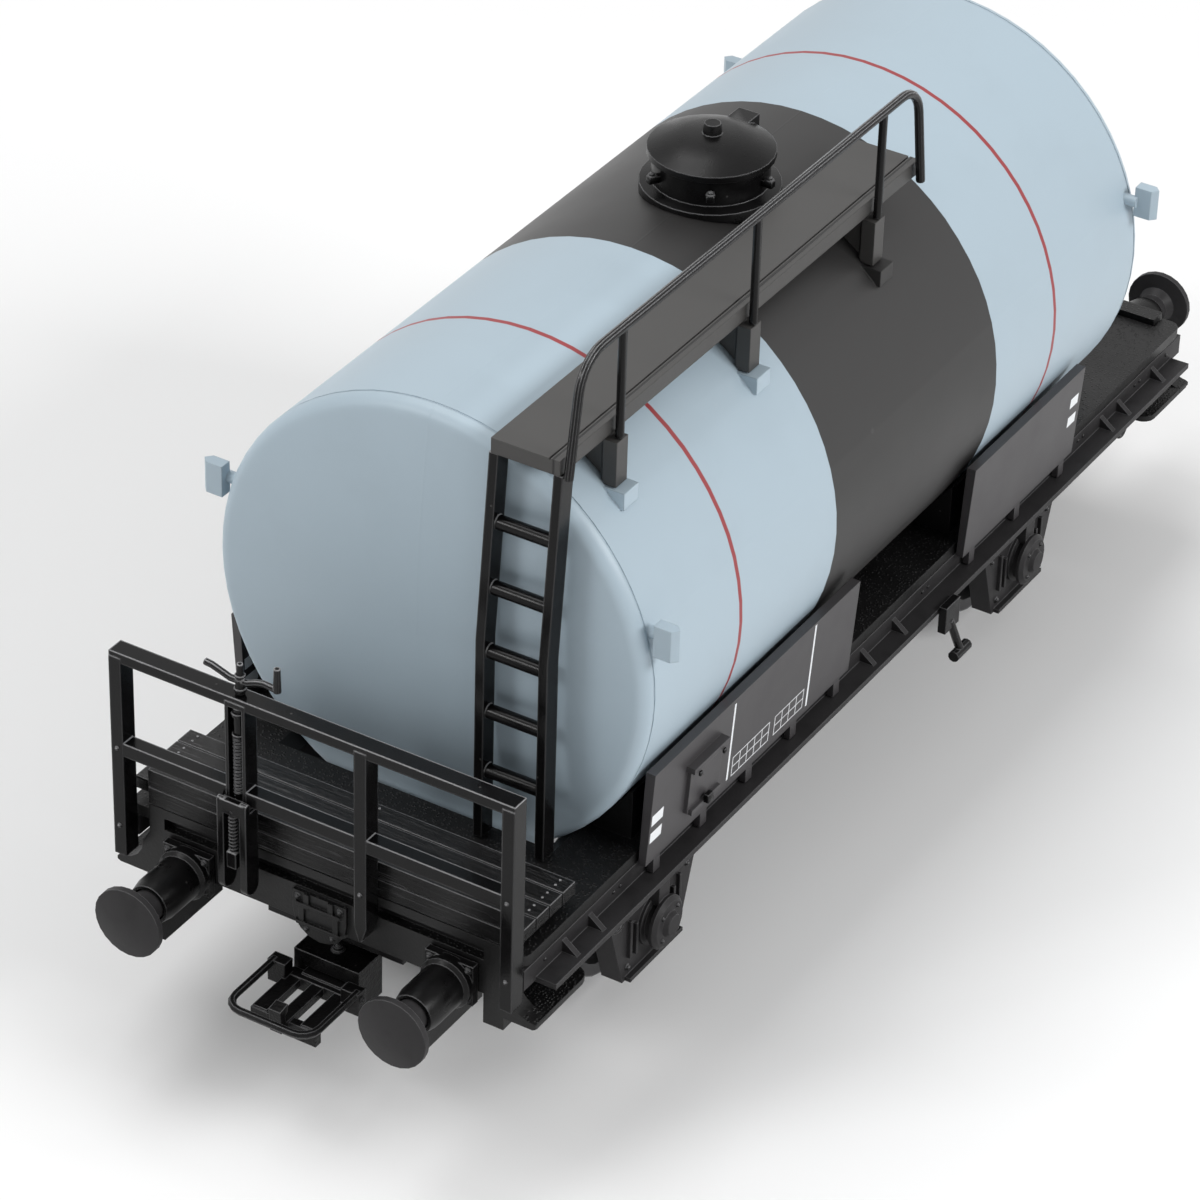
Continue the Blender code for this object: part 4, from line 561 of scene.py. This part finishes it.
tank_paint = tank_material()
# the last number of each moulding is the strength of the highlight painted along its edges
gloss = black_plastic("gloss black moulding", roughness=0.17, grain=0.16, depth=0.006, edge=0.16,
                      painted_highlight=1.0)
satin = black_plastic("satin black moulding", roughness=0.30, grain=0.14, depth=0.010, edge=0.12,
                      painted_highlight=0.38)
matt = black_plastic("matt black moulding", roughness=0.46, grain=0.12, depth=0.010, edge=0.1,
                     painted_highlight=0.2, dust=0.06, colour=FRAME_BLACK)
coupling_plastic = black_plastic("coupling plastic", roughness=0.30, grain=0.2, depth=0.04, edge=0.12,
                                 painted_highlight=0.35, dust=0.2)
studded = studded_plastic()
dress(named("tank_"), tank_paint)
dress(named("end_railing", "hand_brake", "end_ladder", "walkway_handrail"), gloss)
dress(named("floor_plate", "headstock"), studded)
dress(named("centre_sill", "buffer_sleeve", "dome", "brake_"), satin)
dress(named("solebar", "axle_guard", "buffer_head"), matt)
dress(named("coupling"), coupling_plastic)
dress(["deck_planks", "toe_board"], plank_material())
dress(["walkway"], walkway_material())
dress(named("side_board_long"), board_material("long board", LONG_BOARD_MARKS, LONG_BOARD_TABLES))
dress(named("side_board_short"), board_material("short board", SHORT_BOARD_MARKS, ()))
for end, _ in ENDS:
    dress(named(f"axle_{end}", f"wheel_{end}"), wheel_material(end))


# Small parts

def finish_piece(bm, name, material, body=WAGON):
    """Turns a mesh under construction into a piece that moves with one of the wagon's bodies."""
    bmesh.ops.recalc_face_normals(bm, faces=bm.faces)
    mesh = bpy.data.meshes.new(name)
    bm.to_mesh(mesh)
    bm.free()
    mesh.materials.append(material)
    mesh.shade_smooth()
    mesh.set_sharp_from_angle(angle=math.radians(35))
    piece = bpy.data.objects.new(name, mesh)
    bpy.context.scene.collection.objects.link(piece)
    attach(piece, body)
    return piece


def facing(place, direction):
    """Puts a shape's own Z axis along a direction at a place."""
    turn = Vector(direction).to_track_quat("Z", "Y").to_matrix().to_4x4()
    return Matrix.Translation(Vector(place)) @ turn


def edges_at(verts):
    """The edges that meet a shape's points, each once and always in the same order."""
    return list(dict.fromkeys(edge for vert in verts for edge in vert.link_edges))


def round_off(bm, verts, radius):
    """Rounds all the edges of a shape."""
    bmesh.ops.bevel(bm, geom=edges_at(verts), offset=radius, offset_type="OFFSET", segments=2,
                    profile=0.5, affect="EDGES", clamp_overlap=True, material=-1)


def add_block(bm, low, high, bevel):
    """A block between two corners with rounded edges."""
    low, high = Vector(low), Vector(high)
    size = Matrix.Diagonal((*(high - low), 1.0))
    place = Matrix.Translation((low + high) / 2)
    made = bmesh.ops.create_cube(bm, size=1.0, matrix=place @ size)
    round_off(bm, made["verts"], bevel)


def add_cone(bm, matrix, low_radius, high_radius, height, sides):
    return bmesh.ops.create_cone(bm, cap_ends=True, segments=sides, radius1=low_radius,
                                 radius2=high_radius, depth=height, matrix=matrix)["verts"]


def add_bolt(bm, place, direction, radius, sides=6):
    """A bolt: a thin washer, a head with sloping flanks and the shank's end."""
    stages = ((1.45, 1.3, 0.0, 0.25, 16), (1.0, 0.85, 0.2, 0.75, sides), (0.5, 0.3, 0.9, 0.35, 10))
    for low, high, start, length, count in stages:
        depth = length * radius
        centre = Vector(place) + Vector(direction) * (start * radius + depth / 2)
        add_cone(bm, facing(centre, direction), low * radius, high * radius, depth, count)


def wind(bm, section, centre, axis, angle, steps, climb=(0.0, 0.0, 0.0)):
    """Sweeps a closed section round an axis and closes its two ends."""
    faces = dict.fromkeys(face for vert in section for face in vert.link_faces)
    bmesh.ops.spin(bm, geom=[*section, *edges_at(section), *faces], cent=centre, axis=axis,
                   dvec=climb, angle=angle, steps=steps, use_merge=False, use_duplicate=False)
    open_edges = [edge for edge in bm.edges if edge.is_boundary]
    bmesh.ops.holes_fill(bm, edges=open_edges, sides=0)


def add_thread(bm, foot, length, core):
    """A screw thread: a ridge wound up round a rod."""
    pitch = 0.27 * MM
    ridge = 0.42 * pitch
    steps = 14
    turns = round(length / pitch)
    place = Matrix.Translation((foot[0] + core, foot[1], foot[2]))
    upright = place @ Matrix.Rotation(math.radians(90), 4, "X")
    section = bmesh.ops.create_circle(bm, cap_ends=True, segments=4, radius=ridge,
                                      matrix=upright)["verts"]
    wind(bm, section, foot, (0, 0, 1), math.tau * turns, steps * turns, (0, 0, pitch / steps))


def make_thread():
    """The hand brake's screw threads, on the spindle in the column and on the rod below the yoke."""
    bm = bmesh.new()
    add_thread(bm, (SPINDLE_X, SPINDLE_Y, 21.5 * MM), 4.4 * MM, 0.3 * MM)
    add_thread(bm, (SPINDLE_ROD_X, SPINDLE_Y, 17.5 * MM), 2.8 * MM, 0.27 * MM)
    finish_piece(bm, "hand_brake_threads", gloss)


def make_spindle_collars():
    """Turned collars of the hand brake's spindle and crank, which catch the light."""
    bm = bmesh.new()
    for x, z, radius, height in SPINDLE_COLLARS:
        middle = Matrix.Translation((x, SPINDLE_Y, z * MM))
        collar = add_cone(bm, middle, radius * MM, radius * MM, height * MM, 20)
        round_off(bm, collar, 0.06 * MM)
    finish_piece(bm, "hand_brake_collars", gloss)


def make_seam_rings():
    """Painted filler of the seams between the barrel and its ends."""
    bm = bmesh.new()
    depth = 0.16 * MM
    sunk = depth + 0.035 * MM
    for sign in (-1, 1):
        place = Matrix.Translation((sign * TANK_SEAM_X, 0, TANK_AXIS_Z + TANK_RADIUS - sunk))
        upright = place @ Matrix.Rotation(math.radians(90), 4, "X")
        section = bmesh.ops.create_circle(bm, cap_ends=False, segments=8, radius=depth,
                                          matrix=upright)["verts"]
        bmesh.ops.spin(bm, geom=[*section, *edges_at(section)], cent=(0, 0, TANK_AXIS_Z),
                       axis=(1, 0, 0), dvec=(0, 0, 0), angle=math.tau, steps=128, use_merge=True,
                       use_duplicate=False)
    finish_piece(bm, "tank_seam_rings", tank_paint)


def make_buffer_bolts():
    """Four bolts at the corners of each buffer's base plate."""
    for end, end_sign in ENDS:
        bm = bmesh.new()
        for _, sign in SIDES:
            for y in (-1.42 * MM, 1.42 * MM):
                for z in (-0.95 * MM, 1.3 * MM):
                    place = (end_sign * BUFFER_BASE_FACE, sign * BUFFER_SPACING / 2 + y,
                             BUFFER_HEIGHT + z)
                    add_bolt(bm, place, (end_sign, 0, 0), 0.2 * MM)
        finish_piece(bm, f"buffer_bolts_{end}", satin)


def make_hook_plate_bolts():
    """Bolts of the draw-hook plates."""
    for end, sign in ENDS:
        bm = bmesh.new()
        for y, z, radius in HOOK_PLATE_BOLTS:
            for turn in (-1, 1):
                place = (sign * HOOK_PLATE_FACE, turn * y * MM, z * MM)
                add_bolt(bm, place, (sign, 0, 0), radius * MM)
        finish_piece(bm, f"hook_plate_bolts_{end}", satin)


def make_railing_bolts():
    """Bolts through the feet of the railing's posts and through the column."""
    bm = bmesh.new()
    post_y = RAILING_HIGH.y - 0.45 * MM
    column_y = -3.87 * MM
    for y, z in ((post_y, 15.4), (-post_y, 15.4), (post_y, 21.5), (-post_y, 21.5), (column_y, 17.6)):
        add_bolt(bm, (RAILING_LOW.x, y, z * MM), (-1, 0, 0), 0.13 * MM, 12)
    finish_piece(bm, "railing_bolts", gloss)


def make_deck_nails():
    """Nail heads near the ends and over the bearers of the deck's planks."""
    bm = bmesh.new()
    planks = 4
    gap = 0.12 * MM
    pitch = (DECK_HIGH.x - DECK_LOW.x + gap) / planks
    for plank in range(planks):
        for y in DECK_NAILS_Y:
            for part in (0.28, 0.66):
                place = (DECK_LOW.x + (plank + part) * pitch, y * MM, DECK_HIGH.z)
                add_cone(bm, Matrix.Translation(place), 0.13 * MM, 0.07 * MM, 0.1 * MM, 10)
    finish_piece(bm, "deck_nails", gloss)


def make_guard_bolts():
    """Bolts of each axle guard: at its foot, beside the ribs and on the axle box's cover."""
    for end, _ in ENDS:
        for side, sign in SIDES:
            bm = bmesh.new()
            outward = (0, sign, 0)
            for x, z, radius in GUARD_BOLTS:
                place = (AXLE_X[end] + x * MM, sign * GUARD_FACE, z * MM)
                add_bolt(bm, place, outward, radius * MM)
            for turn in range(4):
                angle = math.radians(45 + 90 * turn)
                place = (AXLE_X[end] + 1.3 * MM * math.cos(angle), sign * AXLE_BOX_FACE,
                         AXLE_HEIGHT + 1.3 * MM * math.sin(angle))
                add_bolt(bm, place, outward, 0.13 * MM)
            finish_piece(bm, f"axle_guard_bolts_{end}_{side}", satin)


def make_solebar_rivets():
    """Pairs of rivets on the solebars' webs between the fins."""
    for side, sign in SIDES:
        bm = bmesh.new()
        for x in SOLEBAR_RIVETS_X:
            place = facing((x * MM, sign * FLOOR_SIDE, 14.85 * MM), (0, sign, 0))
            add_cone(bm, place, 0.22 * MM, 0.1 * MM, 0.2 * MM, 12)
        finish_piece(bm, f"solebar_rivets_{side}", satin)


def make_tow_hooks():
    """A rope hook with its foot under each end of both solebars."""
    wire = 0.2 * MM
    radius = 0.62 * MM
    foot_low = Vector((-0.35 * MM, -0.3 * MM, 0.0))
    foot_high = Vector((0.35 * MM, 0.3 * MM, 0.5 * MM))
    for side, sign in SIDES:
        bm = bmesh.new()
        for end_sign in (-1, 1):
            centre = Vector((end_sign * 35.6 * MM, sign * 15.6 * MM, 12.75 * MM))
            place = Matrix.Translation(centre + Vector((radius, 0, 0)))
            section = bmesh.ops.create_circle(bm, cap_ends=True, segments=10, radius=wire,
                                              matrix=place)["verts"]
            wind(bm, section, centre, (0, 1, 0), math.radians(250), 18)
            foot = centre + Vector((0, 0, radius * 0.8))
            add_block(bm, foot + foot_low, foot + foot_high, 0.06 * MM)
        finish_piece(bm, f"tow_hooks_{side}", satin)


def make_card_latches():
    """The latch at the foot of each card holder, and the stops at its upper corners."""
    holder_x = -26.3 * MM
    latch_z = 17.45
    half_size = Vector((0.35 * MM, 0.2 * MM, 0.33 * MM))
    for side, sign in SIDES:
        bm = bmesh.new()
        y = sign * 16.65 * MM
        for x, z, size in CARD_LATCHES:
            lean = sign * (z - latch_z) * 0.07 * MM
            middle = Vector((holder_x + x * MM, y + lean, z * MM))
            add_block(bm, middle - size * half_size, middle + size * half_size, 0.06 * MM)
        finish_piece(bm, f"card_latch_{side}", satin)


def make_dome_clamps():
    """Six clamps round the manhole, each a lug on the ring and a bolt with its nut."""
    bm = bmesh.new()
    radius = 4.35 * MM
    lug_size = Matrix.Diagonal((0.9 * MM, 0.55 * MM, 0.5 * MM, 1))
    for clamp in range(6):
        angle = math.radians(30 + 60 * clamp)
        outward = Vector((math.cos(angle), math.sin(angle), 0))
        place = Vector((0, 0, DOME_HIGH.z - 0.9 * MM)) + radius * outward
        turned = Matrix.Translation(place) @ Matrix.Rotation(angle, 4, "Z")
        lug = bmesh.ops.create_cube(bm, size=1.0, matrix=turned @ lug_size)["verts"]
        round_off(bm, lug, 0.07 * MM)
        nut = place + Vector((0, 0, 0.25 * MM)) + 0.15 * MM * outward
        add_bolt(bm, nut, (0, 0, 1), 0.24 * MM)
    finish_piece(bm, "dome_clamps", satin)


def make_coupling_screws():
    """Screw on each coupling pocket and the pin heads of its bail."""
    for end, sign in ENDS:
        bm = bmesh.new()
        add_bolt(bm, (sign * 44.3 * MM, 0, 9.5 * MM), (0, 0, 1), 0.35 * MM, 12)
        for turn in (-1, 1):
            pin = (sign * 46.75 * MM, turn * 3.5 * MM, 8.6 * MM)
            add_bolt(bm, pin, (0, turn, 0), 0.2 * MM, 12)
        finish_piece(bm, f"coupling_screws_{end}", coupling_plastic,
                     f"coupling_{end}")


make_thread()
make_spindle_collars()
make_seam_rings()
make_buffer_bolts()
make_hook_plate_bolts()
make_railing_bolts()
make_deck_nails()
make_guard_bolts()
make_solebar_rivets()
make_tow_hooks()
make_card_latches()
make_dome_clamps()
make_coupling_screws()


# Studio

def seen_or_mirrored(tree):
    """1 for what the camera sees directly, in a reflection or through glass, and 0 for light."""
    rays = add(tree, "LightPath").outputs
    return strongest(tree, rays["Is Camera Ray"], rays["Is Glossy Ray"], rays["Is Transmission Ray"])


def make_floor():
    """A pale floor that takes the wagon's shadow, fades to white far off, and is open from below."""
    mesh = bpy.data.meshes.new("floor")
    bm = bmesh.new()
    bmesh.ops.create_grid(bm, x_segments=1, y_segments=1, size=FLOOR_HALF_SIZE)
    bm.to_mesh(mesh)
    bm.free()
    floor = bpy.data.objects.new("floor", mesh)
    bpy.context.scene.collection.objects.link(floor)
    material, tree, shader, place = new_material("floor")
    shader.inputs["Base Color"].default_value = (*FLOOR_WHITE, 1.0)
    shader.inputs["Roughness"].default_value = 0.9
    shader.inputs["Specular IOR Level"].default_value = 0.1
    distance = hypotenuse(tree, axis_of(tree, place, "X"), axis_of(tree, place, "Y"))
    far = product(tree, seen_or_mirrored(tree), ramp(tree, distance, FLOOR_NEAR, FLOOR_FAR))
    white = add(tree, "Emission", Color=PURE_WHITE, Strength=1.0)
    faded = add(tree, "MixShader", i0=far, i1=shader.outputs[0], i2=white.outputs[0])
    underside = add(tree, "NewGeometry").outputs["Backfacing"]
    clear = add(tree, "BsdfTransparent")
    open_below = add(tree, "MixShader", i0=underside, i1=faded.outputs[0], i2=clear.outputs[0])
    tree.links.new(open_below.outputs[0], tree.nodes["Material Output"].inputs["Surface"])
    mesh.materials.append(material)


def make_world():
    """Even pale light from all round, darker towards the horizon, in a plain white surround."""
    world = bpy.data.worlds.new("studio")
    bpy.context.scene.world = world
    world.use_nodes = True
    tree = world.node_tree
    rise = axis_of(tree, add(tree, "TexCoord").outputs["Generated"], "Z")
    light = ramp(tree, rise, -0.1, 0.8, HORIZON_LIGHT, ZENITH_LIGHT)
    seen = seen_or_mirrored(tree)
    lighting = product(tree, maths(tree, "SUBTRACT", 1.0, seen), light)
    background = tree.nodes["Background"]
    tree.links.new(maths(tree, "ADD", seen, lighting), background.inputs["Strength"])
    background.inputs["Color"].default_value = (*PURE_WHITE, 1.0)


def make_lamp(name, place, size, power):
    data = bpy.data.lights.new(name, "AREA")
    data.shape = "RECTANGLE"
    data.size, data.size_y = size
    data.energy = power
    lamp = bpy.data.objects.new(name, data)
    bpy.context.scene.collection.objects.link(lamp)
    lamp.location = place
    aim = Vector(LAMP_TARGET) - Vector(place)
    lamp.rotation_euler = aim.to_track_quat("-Z", "Y").to_euler()


def make_camera():
    azimuth, dip, roll = map(math.radians, (CAMERA_AZIMUTH, CAMERA_DIP, CAMERA_ROLL))
    ahead = Vector((math.cos(dip) * math.cos(azimuth), math.cos(dip) * math.sin(azimuth),
                    -math.sin(dip)))
    level = Vector((math.sin(azimuth), -math.cos(azimuth), 0.0))
    upright = level.cross(ahead)
    right = math.cos(roll) * level + math.sin(roll) * upright
    up = math.cos(roll) * upright - math.sin(roll) * level
    turn = Matrix((right, up, -ahead)).transposed().to_4x4()
    data = bpy.data.cameras.new("camera")
    data.lens = CAMERA_LENS
    data.sensor_width = CAMERA_SENSOR
    data.clip_start = 0.01
    data.clip_end = 10.0
    camera = bpy.data.objects.new("camera", data)
    bpy.context.scene.collection.objects.link(camera)
    camera.matrix_world = Matrix.Translation(CAMERA_PLACE) @ turn
    bpy.context.scene.camera = camera


make_floor()
make_world()
for lamp in LAMPS:
    make_lamp(*lamp)
make_camera()
bpy.context.scene.view_settings.view_transform = "Standard"
